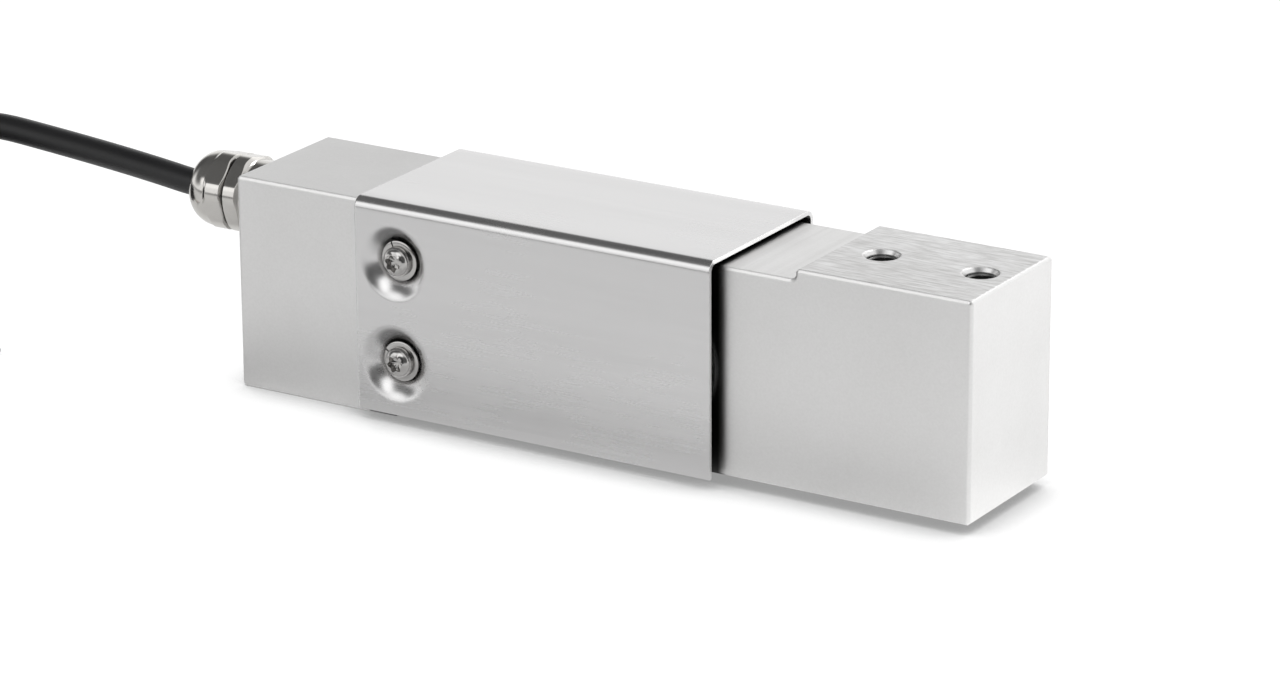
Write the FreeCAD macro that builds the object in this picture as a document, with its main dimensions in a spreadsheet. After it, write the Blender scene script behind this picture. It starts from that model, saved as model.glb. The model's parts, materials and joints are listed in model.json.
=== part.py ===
"""Single point load cell: a machined steel bar with two flexure bores, strain gauges inside them,
welded sealing plates, a folded protective cover and a screened cable in a hexagonal gland.

Millimetres. The origin is the middle of the fixed end's two foot bolts, on its foot face.
+X runs from the fixed end to the live end, +Z up to the load, and Y = 0 is the mid plane.
"""
import FreeCAD, Part
import math
import os
import re

import Sketcher

DOC = FreeCAD.newDocument("load_cell")
VEC = FreeCAD.Vector

SIZES = (
    ("bar_length", 150.0, "bar, end face to end face"),
    ("bar_width", 28.8, "bar, side face to side face"),
    ("end_height", 39.8, "fixed end, foot face to top face"),
    ("pad_step", 1.9, "height of the foot pad and of the load pad over the bar between them"),
    ("foot_length", 34.0, "length of the foot pad"),
    ("pad_length", 34.0, "length of the load pad"),
    ("foot_fillet", 1.0, "radius at the foot of each pad's step"),
    ("edge_chamfer", 0.5, "broken outer edges of the bar"),
    ("bolt_pitch", 19.05, "the two bolts of one end, centre to centre"),
    ("bolt_margin", 6.2, "outer bolt to its end face"),
    ("bolt_radius", 2.5, "tapping bore of a bolt hole"),
    ("bolt_depth", 15.0, "depth of a bolt hole"),
    ("bolt_mouth", 0.8, "countersink of a bolt hole"),
    ("flexure_radius", 12.6, "each of the two flexure bores"),
    ("flexure_pitch", 21.6, "flexure bores, centre to centre"),
    ("pocket_length", 7.6, "wiring pocket beyond the fixed side's flexure bore"),
    ("pocket_height", 12.0, "wiring pocket, floor to roof"),
    ("port_height", 31.5, "cable gland's axis over the foot face"),
    ("port_radius", 5.5, "threaded port of the gland"),
    ("port_depth", 10.0, "depth of the gland's port"),
    ("lead_bore", 2.1, "radius of the drilled way from the port to the wiring pocket"),
    ("sheet", 0.8, "thickness of the cover's sheet"),
    ("cover_setback", 28.0, "fixed end face to the cover's edge"),
    ("cover_end_gap", 14.9, "cover's other edge to the load pad's step"),
    ("cover_side_gap", 2.5, "inside of the cover to the bar's side face"),
    ("cover_top_gap", 0.7, "inside of the cover to the bar's top face"),
    ("cover_base_gap", 1.8, "lower edge of the cover over the foot face"),
    ("bend_radius", 2.0, "outside radius of the cover's bends"),
    ("screw_setback", 8.1, "cover's edge to its screws"),
    ("screw_pitch", 18.8, "upper screw to lower screw"),
    ("screw_radius", 1.25, "shank of a cover screw"),
    ("screw_length", 8.0, "cover screw under its head"),
    ("screw_hole_depth", 7.5, "tapped hole of a cover screw"),
    ("screw_hole_play", 0.45, "clearance of a cover screw in the sheet"),
    ("thread_play", 0.05, "radial clearance between two threads"),
    ("head_radius", 2.95, "head of a cover screw"),
    ("head_height", 2.1, "head of a cover screw"),
    ("socket_radius", 1.05, "core of the six lobed socket"),
    ("lobe_radius", 0.36, "one lobe of the socket"),
    ("socket_depth", 1.2, "depth of the socket"),
    ("dish_radius", 6.5, "rim of the dish pressed round each cover screw"),
    ("seat_radius", 3.75, "flat seat at the bottom of the dish"),
    ("washer_radius", 3.7, "spring washer"),
    ("washer_height", 0.8, "spring washer"),
    ("washer_split", 0.5, "gap of the spring washer"),
    ("plate_thickness", 0.5, "welded sealing plate"),
    ("plate_margin", 2.2, "sealing plate beyond the flexure bores"),
    ("plate_gap", 1.95, "seat of a screw's dish to the sealing plate, along the bar"),
    ("bead_inset", 3.0, "plate's edge to its pressed bead"),
    ("bead_width", 2.0, "pressed bead"),
    ("bead_height", 0.4, "pressed bead"),
    ("gauge_width", 8.0, "strain gauge across the bar"),
    ("gauge_angle", 34.0, "strain gauge round the flexure bore, in degrees"),
    ("gauge_thickness", 0.15, "strain gauge"),
    ("glue_line", 0.03, "glue under a gauge or a board"),
    ("board_width", 20.0, "bridge board across the bar"),
    ("board_gap", 0.3, "bridge board to the wiring pocket's wall"),
    ("board_overhang", 1.2, "bridge board beyond the wiring pocket"),
    ("board_thickness", 1.0, "bridge board"),
    ("gland_flats", 14.0, "gland and cap nut across their flats"),
    ("gland_corners", 7.45, "turned corners of the gland and cap nut"),
    ("hex_chamfer", 0.8, "turned chamfer of the hexagons, across"),
    ("hex_slope", 0.48, "turned chamfer of the hexagons, along"),
    ("neck_radius", 6.6, "gland's neck"),
    ("neck_length", 5.5, "end face to the gland's hexagon"),
    ("neck_relief", 0.5, "depth of the relief under the gland's hexagon"),
    ("relief_start", 0.4, "that relief's start before the hexagon"),
    ("relief_end", 0.6, "that relief's end before the upper thread"),
    ("hex_length", 3.4, "gland's hexagon"),
    ("hex_turn", 43.0, "turn of the hexagons about the gland's axis, in degrees"),
    ("thread_length", 7.0, "gland's thread inside the bar"),
    ("upper_thread", 5.6, "gland's thread under the cap nut"),
    ("upper_length", 5.7, "length of that thread"),
    ("nut_gap", 0.1, "gland's hexagon to the cap nut"),
    ("nut_length", 9.1, "cap nut"),
    ("dome_length", 5.0, "rounded end of the cap nut"),
    ("dome_radius", 7.1, "where the rounded end begins"),
    ("nut_end_radius", 3.45, "flat face of the cap nut's rounded end"),
    ("nut_wall", 2.2, "cap nut's end wall"),
    ("seal_radius", 4.2, "rubber seal in the gland"),
    ("seal_length", 4.8, "rubber seal in the gland"),
    ("seal_play", 0.03, "clearance of the seal"),
    ("seal_seat", 0.8, "gland's wall behind its seal"),
    ("seal_gap", 0.1, "seal to that wall"),
    ("ring_land", 0.6, "straight part of the clamp ring"),
    ("ring_wall", 0.7, "clamp ring at its narrow end"),
    ("ring_step", 0.15, "clamp ring under the gland's thread"),
    ("ring_reach", 0.3, "clamp ring into the cap nut's end wall"),
    ("ring_gap", 0.02, "clamp ring to the cap nut, across"),
    ("ring_seat", 0.05, "clamp ring to the cap nut, along"),
    ("mouth_play", 0.6, "mouth of the cap nut round the gland's bore"),
    ("mouth_reach", 0.5, "cut through the cap nut past both its ends"),
    ("slot_width", 0.5, "slots of the clamp ring"),
    ("slot_depth", 1.0, "slots of the clamp ring"),
    ("o_ring_radius", 0.72, "section of the gland's sealing ring"),
    ("cable_radius", 2.5, "cable's jacket"),
    ("jacket_reach", 0.7, "cable's jacket beyond the gland's thread"),
    ("cable_play", 0.15, "clearance of the cable in the gland"),
    ("core_radius", 0.55, "insulation of one core"),
    ("ferrule_radius", 0.85, "crimped ferrule on a core"),
    ("lead_radius", 0.2, "thin lead of a strain gauge"),
    ("hank_fold", 15.0, "inner turns of the put-away cable, at their folds"),
    ("hank_run", 80.0, "straight runs of the put-away cable"),
    ("tie_thickness", 1.0, "cable tie"),
    ("tie_width", 4.6, "cable tie"),
)

PLACES = (
    ("fixed_x", "-(bolt_margin + bolt_pitch / 2)", "fixed end face"),
    ("live_x", "fixed_x + bar_length", "live end face"),
    ("load_x", "live_x - bolt_margin - bolt_pitch / 2", "middle of the load bolts"),
    ("side_y", "bar_width / 2", "bar's side face"),
    ("load_z", "end_height + pad_step", "load pad's face"),
    ("mid_z", "(pad_step + end_height) / 2", "middle of the bar between its pads"),
    ("port_end_x", "fixed_x + port_depth", "bottom of the gland's port"),
    ("cover_x", "fixed_x + cover_setback", "cover's edge on the fixed side"),
    ("cover_length", "live_x - pad_length - cover_end_gap - cover_x", "cover along the bar"),
    ("cover_inner_y", "side_y + cover_side_gap", "inside of the cover's sides"),
    ("cover_y", "cover_inner_y + sheet", "outside of the cover's sides"),
    ("cover_inner_z", "end_height + cover_top_gap", "inside of the cover's top"),
    ("cover_z", "cover_inner_z + sheet", "outside of the cover's top"),
    ("screw_x", "cover_x + screw_setback", "cover screws along the bar"),
    ("plate_x", "screw_x + seat_radius + plate_gap", "sealing plates' edge on the fixed side"),
    ("pocket_x", "plate_x + plate_margin", "wiring pocket's far wall"),
    ("pocket_floor", "mid_z - pocket_height / 2", "wiring pocket's floor"),
    ("near_bore_x", "pocket_x + pocket_length + flexure_radius", "flexure bore on the fixed side"),
    ("far_bore_x", "near_bore_x + flexure_pitch", "flexure bore on the live side"),
    ("plate_end", "flexure_radius + plate_margin", "radius of the sealing plates' round ends"),
    ("hex_x", "fixed_x - neck_length", "gland's hexagon on the bar's side"),
    ("upper_x", "hex_x - hex_length", "foot of the gland's upper thread"),
    ("nut_x", "upper_x - nut_gap", "cap nut's inner end"),
    ("nut_end_x", "nut_x - nut_length", "cap nut's rounded end"),
    ("seal_x", "upper_x - seal_seat - seal_gap", "seal's inner end"),
    ("cable_bore", "cable_radius + cable_play", "way of the cable through the gland"),
    ("ring_x", "seal_x - seal_length", "clamp ring's inner end"),
    ("ring_end_x", "nut_end_x + nut_wall - ring_reach", "clamp ring's narrow end"),
    ("jacket_end_x", "fixed_x + thread_length + jacket_reach", "end of the cable's jacket in the port"),
)

SHEET = DOC.addObject("Spreadsheet::Sheet", "sizes")
SHEET.Label = "sizes"
for row, (alias, number, meaning) in enumerate(SIZES, start=1):
    SHEET.set(f"A{row}", meaning)
    SHEET.set(f"B{row}", str(number))
    SHEET.setAlias(f"B{row}", alias)
DOC.recompute()

DERIVED = DOC.addObject("App::VarSet", "places")
DERIVED.Label = "places"
HOMES = {alias: "sizes" for alias, _, _ in SIZES}
HOMES.update({alias: "places" for alias, _, _ in PLACES})


def linked(expression):
    """The expression with each name sent to the sheet or to the set of places."""
    return re.sub(r"[a-z_]{3,}", lambda m: f"{HOMES[m.group()]}.{m.group()}", expression)


def bind(thing, **paths):
    """Bind properties of an object to expressions; a double underscore stands for a point."""
    for path, expression in paths.items():
        thing.setExpression(path.replace("__", "."), linked(expression))


for alias, expression, meaning in PLACES:
    DERIVED.addProperty("App::PropertyFloat", alias, "Places", meaning)
    bind(DERIVED, **{alias: expression})
DOC.recompute()


def size(alias):
    """A number from the sheet or from the set of places."""
    return float(getattr(SHEET if HOMES[alias] == "sizes" else DERIVED, alias))


DRILL_POINT = 0.6
CROWN_SHARE = 0.7
TIP_SHARE = 0.3
WASHER_TURNS = (150, 115, 40, 200)
CHIP = (1.6, 2.4, 0.6)
CHIP_PITCH = 3.8
CHIP_PLACE = 4.9
HEXAGON_SHARE = math.cos(math.pi / 6)
HANK_ROWS = 2
HANK_LAYERS = 5
HANK_START = -142.0
HANK_NEAR_END = -115.0
TIE_LOCK = (5.0, 1.6, 3.4)
TIE_TONGUE = (6.5, 0.9)
TIE_PLACES = ((-14.0, 90.0), (9.0, -90.0))
CORES = ("red", "black", "green", "white", "screen")
CORE_STARTS = (162, 234, 90, 306, 18)
CORE_REACH = 1.1
CORE_FAN = (0.9, 1.7, 2.2)
CORE_STEPS = (4.0, 10.5, 18.0, 26.0)

TURNS = {
    "X": FreeCAD.Rotation(VEC(0, 1, 0), 90),
    "-X": FreeCAD.Rotation(VEC(0, 1, 0), -90),
    "Y": FreeCAD.Rotation(VEC(1, 0, 0), -90),
    "-Y": FreeCAD.Rotation(VEC(1, 0, 0), 90),
    "Z": FreeCAD.Rotation(),
    "-Z": FreeCAD.Rotation(VEC(1, 0, 0), 180),
}


def at(thing, x="0", y="0", z="0"):
    """Bind the object's base point."""
    bind(thing, Placement__Base__x=x, Placement__Base__y=y, Placement__Base__z=z)
    return thing


def rod(name, axis, radius, length, x="0", y="0", z="0"):
    """A cylinder that starts at a point and runs along an axis."""
    thing = DOC.addObject("Part::Cylinder", name)
    thing.Placement.Rotation = TURNS[axis]
    bind(thing, Radius=radius, Height=length)
    return at(thing, x, y, z)


def taper(name, axis, start_radius, end_radius, length, x="0", y="0", z="0"):
    """A cone that starts at a point and runs along an axis."""
    thing = DOC.addObject("Part::Cone", name)
    thing.Placement.Rotation = TURNS[axis]
    bind(thing, Radius1=start_radius, Radius2=end_radius, Height=length)
    return at(thing, x, y, z)


def block(name, length, width, height, x="0", y="0", z="0"):
    """A box from its lowest corner."""
    thing = DOC.addObject("Part::Box", name)
    bind(thing, Length=length, Width=width, Height=height)
    return at(thing, x, y, z)


def fused(name, *parts):
    """One solid, or several, from overlapping parts."""
    thing = DOC.addObject("Part::MultiFuse", name)
    thing.Shapes = list(parts)
    return thing


def cut(name, base, *tools):
    """The base without its tools."""
    thing = DOC.addObject("Part::Cut", name)
    thing.Base = base
    thing.Tool = tools[0] if len(tools) == 1 else fused(f"{name}_tools", *tools)
    return thing


def common(name, *parts):
    """What the parts share."""
    thing = DOC.addObject("Part::MultiCommon", name)
    thing.Shapes = list(parts)
    return thing


def feature(name, shape):
    """A shape made by the functions below, kept as an object of the document."""
    thing = DOC.addObject("Part::Feature", name)
    thing.Shape = shape
    return thing


def body(name):
    """A new body."""
    return DOC.addObject("PartDesign::Body", name)


def plane(owner, role):
    """One of the body's own origin planes or axes."""
    return next(part for part in owner.Origin.OriginFeatures if part.Role == role)


def outline(owner, name, role, corners):
    """A closed sketch of straight lines, each corner bound to a pair of expressions.

    The corners start on a circle, in their order, and their constraints bring them to their places.
    """
    sketch = owner.newObject("Sketcher::SketchObject", name)
    sketch.AttachmentSupport = [(plane(owner, role), "")]
    sketch.MapMode = "FlatFace"
    count = len(corners)
    ring = [
        VEC(10 * math.cos(2 * math.pi * i / count), 10 * math.sin(2 * math.pi * i / count), 0)
        for i in range(count)
    ]
    for i in range(count):
        sketch.addGeometry(Part.LineSegment(ring[i], ring[(i + 1) % count]), False)
    for i in range(count):
        sketch.addConstraint(Sketcher.Constraint("Coincident", i, 2, (i + 1) % count, 1))
    for i, (across, up) in enumerate(corners):
        for kind, expression in (("DistanceX", across), ("DistanceY", up)):
            index = sketch.addConstraint(Sketcher.Constraint(kind, -1, 1, i, 1, 5.0))
            sketch.setExpression(f"Constraints[{index}]", linked(expression))
    return sketch


def pad(owner, name, sketch, length):
    """The sketch as a solid, half its length to each side."""
    thing = owner.newObject("PartDesign::Pad", name)
    thing.Profile = sketch
    thing.SideType = "Symmetric"
    bind(thing, Length=length)
    return thing


def revolved(owner, name, sketch, axis):
    """The sketch turned right round one of the body's axes."""
    thing = owner.newObject("PartDesign::Revolution", name)
    thing.Profile = sketch
    thing.ReferenceAxis = (plane(owner, axis), [""])
    thing.Angle = 360
    return thing


def dressed(owner, kind, name, base, edges, **paths):
    """A fillet or a chamfer on edges of the base, picked by their numbers."""
    thing = owner.newObject(f"PartDesign::{kind}", name)
    thing.Base = (base, [f"Edge{number}" for number in edges])
    bind(thing, **paths)
    return thing


def edges_where(shape, test):
    """The numbers of the edges whose box passes a test."""
    return [n for n, edge in enumerate(shape.Edges, start=1) if test(edge.BoundBox)]


def tube(points, radius, label):
    """A round tube along straight runs joined by tangent arcs, as large as the runs allow.

    Each arc's radius is 0.45 of the shorter run beside it, divided by the tangent of half the turn.
    """
    points = [VEC(*p) for p in points]
    pieces, start, radii = [], points[0], []
    for before, here, after in zip(points, points[1:], points[2:]):
        first, second = (here - before).normalize(), (after - here).normalize()
        half = first.getAngle(second) / 2
        reach = 0.45 * min((here - before).Length, (after - here).Length)
        bend = reach / math.tan(half)
        enter, leave = here - first * reach, here + second * reach
        inward = (second - first).normalize()
        middle = here + inward * (bend / math.cos(half) - bend)
        pieces.append(Part.LineSegment(start, enter).toShape())
        pieces.append(Part.Arc(enter, middle, leave).toShape())
        start = leave
        radii.append(round(bend, 1))
    pieces.append(Part.LineSegment(start, points[-1]).toShape())
    path = Part.Wire(pieces)
    ring = Part.Wire([Part.Circle(points[0], points[1] - points[0], radius).toShape()])
    solid = path.makePipeShell([ring], True, True)
    share = solid.Volume / (math.pi * radius**2 * path.Length)
    print(f"{label}: {path.Length:.1f} long, bends {radii}, volume share {share:.4f}")
    return solid


def compound(shapes):
    """Separate solids kept together."""
    return Part.makeCompound(list(shapes))


def moved(shape, x=0.0, y=0.0, z=0.0, turn=None):
    """A copy of a shape, turned and then moved."""
    placed = shape.copy()
    placed.Placement = FreeCAD.Placement(VEC(x, y, z), turn or FreeCAD.Rotation()).multiply(placed.Placement)
    return placed


def spring_body():
    """The machined bar: stepped ends, flexure bores, wiring ways and tapped holes."""
    bar = body("bar")
    steps = (
        ("fixed_x", "0"),
        ("fixed_x + foot_length", "0"),
        ("fixed_x + foot_length", "pad_step"),
        ("live_x", "pad_step"),
        ("live_x", "load_z"),
        ("live_x - pad_length", "load_z"),
        ("live_x - pad_length", "end_height"),
        ("fixed_x", "end_height"),
    )
    profile = outline(bar, "bar_profile", "XZ_Plane", steps)
    block_pad = pad(bar, "bar_pad", profile, "bar_width")
    DOC.recompute()
    feet = (
        (size("fixed_x") + size("foot_length"), size("pad_step")),
        (size("live_x") - size("pad_length"), size("end_height")),
    )

    def is_foot(box):
        return box.YLength > 1 and any(
            abs(box.Center.x - x) < 1e-3 and abs(box.Center.z - z) < 1e-3 for x, z in feet
        )

    inner = edges_where(block_pad.Shape, is_foot)
    rounded = dressed(bar, "Fillet", "bar_feet", block_pad, inner, Radius="foot_fillet")
    DOC.recompute()

    def is_outer(box):
        near_foot = any(
            abs(box.Center.x - x) < size("foot_fillet") + 1e-3
            and abs(box.Center.z - z) < size("foot_fillet") + 1e-3
            for x, z in feet
        )
        return not (near_foot and box.YLength > 1)

    outer = edges_where(rounded.Shape, is_outer)
    chamfered = dressed(bar, "Chamfer", "bar_edges", rounded, outer, Size="edge_chamfer")
    bar.Tip = chamfered

    through = "bar_width + 2"
    front = "-side_y - 1"
    tools = [
        rod("near_bore", "Y", "flexure_radius", through, "near_bore_x", front, "mid_z"),
        rod("far_bore", "Y", "flexure_radius", through, "far_bore_x", front, "mid_z"),
        block(
            "wiring_pocket",
            "near_bore_x - pocket_x",
            through,
            "pocket_height",
            "pocket_x",
            front,
            "pocket_floor",
        ),
        rod("gland_port", "X", "port_radius", "port_depth + 1", "fixed_x - 1", "0", "port_height"),
    ]
    tools.append(feature("lead_way", lead_way_solid()))
    drill_point = f"bolt_radius * {DRILL_POINT}"
    for end, x, face, axis, inward in (
        ("foot", "0", "0", "Z", "1"),
        ("load", "load_x", "load_z", "-Z", "-1"),
    ):
        for side, sign in (("outer", "-1"), ("inner", "1")):
            name = f"{end}_bolt_{side}"
            place = f"{x} + ({sign}) * bolt_pitch / 2"
            drill_tip = f"{face} + ({inward}) * bolt_depth"
            tools += [
                rod(name, axis, "bolt_radius", "bolt_depth", place, "0", face),
                taper(f"{name}_tip", axis, "bolt_radius", "0", drill_point, place, "0", drill_tip),
                taper(
                    f"{name}_mouth",
                    axis,
                    "bolt_radius + bolt_mouth",
                    "bolt_radius",
                    "bolt_mouth",
                    place,
                    "0",
                    face,
                ),
            ]
    for side, axis, face in (("front", "Y", "-side_y"), ("rear", "-Y", "side_y")):
        for level, sign in (("upper", "1"), ("lower", "-1")):
            height = f"mid_z + ({sign}) * screw_pitch / 2"
            name = f"{side}_{level}_screw_hole"
            hole = "screw_radius + thread_play"
            tools.append(rod(name, axis, hole, "screw_hole_depth", "screw_x", face, height))
    return cut("spring_body", bar, *tools)


def lead_way_ends():
    """The two ends of the drilled way: the port's bottom and the wiring pocket's wall."""
    start = VEC(size("port_end_x"), 0, size("port_height"))
    end = VEC(size("pocket_x"), 0, size("mid_z") + size("pocket_height") / 2 - 2 * size("lead_bore"))
    return start, end


def lead_way_solid():
    """The slanting bore, a little longer than the steel that it passes through."""
    start, end = lead_way_ends()
    along = (end - start).normalize()
    start, end = start - along * size("lead_bore"), end + along * size("lead_bore")
    return Part.makeCylinder(size("lead_bore"), (end - start).Length, start, along)


def dish_solid():
    """A dish pressed into the sheet, open towards +Z, with its rim's outer face at Z = 0.

    Its section is a flat rim, an arc down, an arc back to level, and a flat seat; the inner
    faces are the same arcs a sheet's thickness away.
    """
    rim, seat, thick = size("dish_radius"), size("seat_radius"), size("sheet")
    depth, hole = size("cover_side_gap"), size("screw_radius") + size("screw_hole_play")
    run = rim - seat
    turn = 2 * math.atan(depth / run)
    bend = run / (2 * math.sin(turn))
    middle_r, middle_z = (rim + seat) / 2, -depth / 2

    def arc(centre, radius, start, end):
        spots = [
            VEC(centre[0] + radius * math.cos(a), 0, centre[1] + radius * math.sin(a))
            for a in (start, (start + end) / 2, end)
        ]
        return Part.Arc(*spots).toShape()

    up, down = math.pi / 2, -math.pi / 2
    top_centre, low_centre = (rim, -bend), (seat, -depth + bend)
    skew = math.atan2(middle_z - top_centre[1], middle_r - top_centre[0])
    if skew < 0:
        skew += 2 * math.pi
    back = math.atan2(middle_z - low_centre[1], middle_r - low_centre[0])
    if bend <= thick:
        raise ValueError("the dish is too steep for its sheet")
    face = [
        arc(top_centre, bend, up, skew),
        arc(low_centre, bend, back, down),
        Part.LineSegment(VEC(seat, 0, -depth), VEC(hole, 0, -depth)).toShape(),
        Part.LineSegment(VEC(hole, 0, -depth), VEC(hole, 0, -depth - thick)).toShape(),
        Part.LineSegment(VEC(hole, 0, -depth - thick), VEC(seat, 0, -depth - thick)).toShape(),
        arc(low_centre, bend + thick, down, back),
        arc(top_centre, bend - thick, skew, up),
        Part.LineSegment(VEC(rim, 0, -thick), VEC(rim, 0, 0)).toShape(),
    ]
    section = Part.Face(Part.Wire(face))
    return section.revolve(VEC(0, 0, 0), VEC(0, 0, 1), 360)


def screw_stations():
    """Each cover screw's height, side and the turn that points its +Z out of that side."""
    for sign, turn in ((-1, TURNS["-Y"]), (1, TURNS["Y"])):
        for level in (-1, 1):
            yield sign, size("mid_z") + level * size("screw_pitch") / 2, turn


def protective_cover():
    """The folded cover: a channel of thin sheet with a dish pressed in round each screw."""
    shell = body("cover_shell")
    corners = (
        ("-cover_y", "cover_base_gap"),
        ("cover_y", "cover_base_gap"),
        ("cover_y", "cover_z"),
        ("-cover_y", "cover_z"),
    )
    profile = outline(shell, "cover_profile", "YZ_Plane", corners)
    full = pad(shell, "cover_block", profile, "cover_length")
    DOC.recompute()
    bends = edges_where(full.Shape, lambda b: b.XLength > 1 and b.ZMin > size("mid_z"))
    folded = dressed(shell, "Fillet", "cover_bends", full, bends, Radius="bend_radius")
    DOC.recompute()
    opened = [
        f"Face{n}"
        for n, face in enumerate(folded.Shape.Faces, start=1)
        if face.BoundBox.XLength < 1e-3 or face.BoundBox.ZMax < size("mid_z")
    ]
    hollow = shell.newObject("PartDesign::Thickness", "cover_sheet")
    hollow.Base = (folded, opened)
    hollow.Reversed = True
    bind(hollow, Value="sheet")
    shell.Tip = hollow
    at(shell, "cover_x + cover_length / 2")

    openings = []
    for side, axis, face in (("front", "-Y", "-side_y"), ("rear", "Y", "side_y")):
        for level, sign in (("upper", "1"), ("lower", "-1")):
            height = f"mid_z + ({sign}) * screw_pitch / 2"
            name = f"{side}_{level}_dish_opening"
            depth = "cover_side_gap + 2 * sheet"
            openings.append(rod(name, axis, "dish_radius", depth, "screw_x", face, height))
    drilled = cut("drilled_cover", shell, *openings)
    dish = dish_solid()
    dishes = feature(
        "pressed_dishes",
        compound(
            moved(dish, size("screw_x"), sign * size("cover_y"), height, turn)
            for sign, height, turn in screw_stations()
        ),
    )
    return fused("protective_cover", drilled, dishes)


def cover_screws():
    """Four pan head screws with a six lobed socket."""
    screw = body("cover_screw")
    corners = (
        ("0", "-screw_length"),
        ("screw_radius", "-screw_length"),
        ("screw_radius", "0"),
        ("head_radius", "0"),
        ("head_radius", "head_height"),
        ("0", "head_height"),
    )
    profile = outline(screw, "screw_profile", "XZ_Plane", corners)
    turned = revolved(screw, "screw_turned", profile, "Z_Axis")
    DOC.recompute()
    rim = edges_where(
        turned.Shape, lambda b: b.ZMin > size("head_height") - 1e-3 and b.XLength > size("head_radius")
    )
    crown = dressed(screw, "Fillet", "screw_crown", turned, rim, Radius=f"head_height * {CROWN_SHARE}")
    DOC.recompute()
    tip = edges_where(crown.Shape, lambda b: b.ZMax < 1e-3 - size("screw_length"))
    screw.Tip = dressed(screw, "Chamfer", "screw_tip", crown, tip, Size=f"screw_radius * {TIP_SHARE}")

    core = rod("socket_core", "Z", "socket_radius", "head_height", z="head_height - socket_depth")
    lobes = [core]
    for n in range(6):
        lobe = rod(f"socket_lobe_{n}", "Z", "lobe_radius", "head_height")
        at(
            lobe,
            f"socket_radius * {math.cos(math.radians(60 * n)):.6f}",
            f"socket_radius * {math.sin(math.radians(60 * n)):.6f}",
            "head_height - socket_depth",
        )
        lobes.append(lobe)
    one = cut("cover_screw_cut", screw, *lobes)
    DOC.recompute()
    stand = size("side_y") + size("sheet") + size("washer_height")
    return feature(
        "cover_screws",
        compound(
            moved(one.Shape, size("screw_x"), sign * stand, height, turn)
            for sign, height, turn in screw_stations()
        ),
    )


def screw_washers():
    """Four split spring washers under the screws' heads."""
    ring = cut(
        "washer_ring",
        rod("washer_disc", "Z", "washer_radius", "washer_height"),
        rod("washer_hole", "Z", "screw_radius + screw_hole_play", "washer_height"),
        block("washer_gap", "washer_radius + 1", "washer_split", "washer_height", y="-washer_split / 2"),
    )
    DOC.recompute()
    edges = edges_where(
        ring.Shape, lambda b: b.ZLength < 1e-3 and b.XLength > 1.5 * size("washer_radius")
    )
    rounding = size("washer_height") * TIP_SHARE
    soft = ring.Shape.makeFillet(rounding, [ring.Shape.Edges[n - 1] for n in edges])
    stand = size("side_y") + size("sheet")
    return feature(
        "screw_washers",
        compound(
            moved(soft, size("screw_x"), sign * stand, height, turn * FreeCAD.Rotation(VEC(0, 0, 1), spin))
            for (sign, height, turn), spin in zip(screw_stations(), WASHER_TURNS)
        ),
    )


def stadium(x_low, x_high, radius, thickness):
    """A flat plate with round ends in the XZ plane, from Y = 0 towards +Y."""
    low, high = VEC(x_low + radius, 0, 0), VEC(x_high - radius, 0, 0)
    up = VEC(0, 0, radius)
    edges = [
        Part.LineSegment(low + up, high + up).toShape(),
        Part.Arc(high + up, high + VEC(radius, 0, 0), high - up).toShape(),
        Part.LineSegment(high - up, low - up).toShape(),
        Part.Arc(low - up, low - VEC(radius, 0, 0), low + up).toShape(),
    ]
    return Part.Face(Part.Wire(edges)).extrude(VEC(0, thickness, 0))


def sealing_plate(name, sign):
    """A thin plate with a pressed bead, welded over the flexure bores on one side."""
    low, end = size("plate_x"), size("plate_end")
    high = size("far_bore_x") + end
    thick, rise = size("plate_thickness"), size("bead_height")
    outer, inner = size("bead_inset"), size("bead_inset") + size("bead_width")

    def ring(inset, width, thickness):
        whole = stadium(low + inset, high - inset, end - inset, thickness)
        return whole.cut(stadium(low + inset + width, high - inset - width, end - inset - width, thickness))

    plate = stadium(low, high, end, thick)
    bead = moved(ring(outer, inner - outer, rise), y=thick)
    groove = ring(outer + thick / 2, inner - outer - thick, rise)
    plate = plate.fuse(bead).removeSplitter().cut(groove)
    turn = FreeCAD.Rotation(VEC(0, 0, 1), 180) if sign < 0 else None
    centre = (low + high) / 2
    flat = moved(plate, x=-centre)
    return feature(name, moved(flat, centre, sign * size("side_y"), size("mid_z"), turn))


def strain_gauge(name, bore_x, level):
    """A foil gauge glued to the thinnest wall over or under a flexure bore."""
    outer, inner = "flexure_radius - glue_line", "flexure_radius - glue_line - gauge_thickness"
    foil = cut(
        name,
        rod(f"{name}_outer", "Y", outer, "gauge_width", bore_x, "-gauge_width / 2", "mid_z"),
        rod(f"{name}_inner", "Y", inner, "gauge_width", bore_x, "-gauge_width / 2", "mid_z"),
    )
    bind(foil.Base, Angle="gauge_angle")
    middle = 90.0 * level
    turn = FreeCAD.Rotation(VEC(0, 1, 0), -(middle - size("gauge_angle") / 2)).multiply(TURNS["-Y"])
    foil.Base.Placement.Rotation = turn
    bind(foil.Base, Placement__Base__y="gauge_width / 2")
    return foil


def bridge_board():
    """The small board on the floor of the wiring pocket."""
    return block(
        "bridge_board",
        "pocket_length + board_overhang - board_gap",
        "board_width",
        "board_thickness",
        "pocket_x + board_gap",
        "-board_width / 2",
        "pocket_floor + glue_line",
    )


def board_resistors():
    """Five trimming resistors in a row on the board."""
    _, wide, tall = CHIP
    chip = Part.makeBox(*CHIP)
    chip = chip.makeFillet(0.2 * tall, [e for e in chip.Edges if e.BoundBox.ZMin > 0.9 * tall])
    x = size("pocket_x") + CHIP_PLACE
    z = size("pocket_floor") + size("glue_line") + size("board_thickness")
    row = (moved(chip, x, CHIP_PITCH * n - wide / 2, z) for n in (-2, -1, 0, 1, 2))
    return feature("board_resistors", compound(row))


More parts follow.
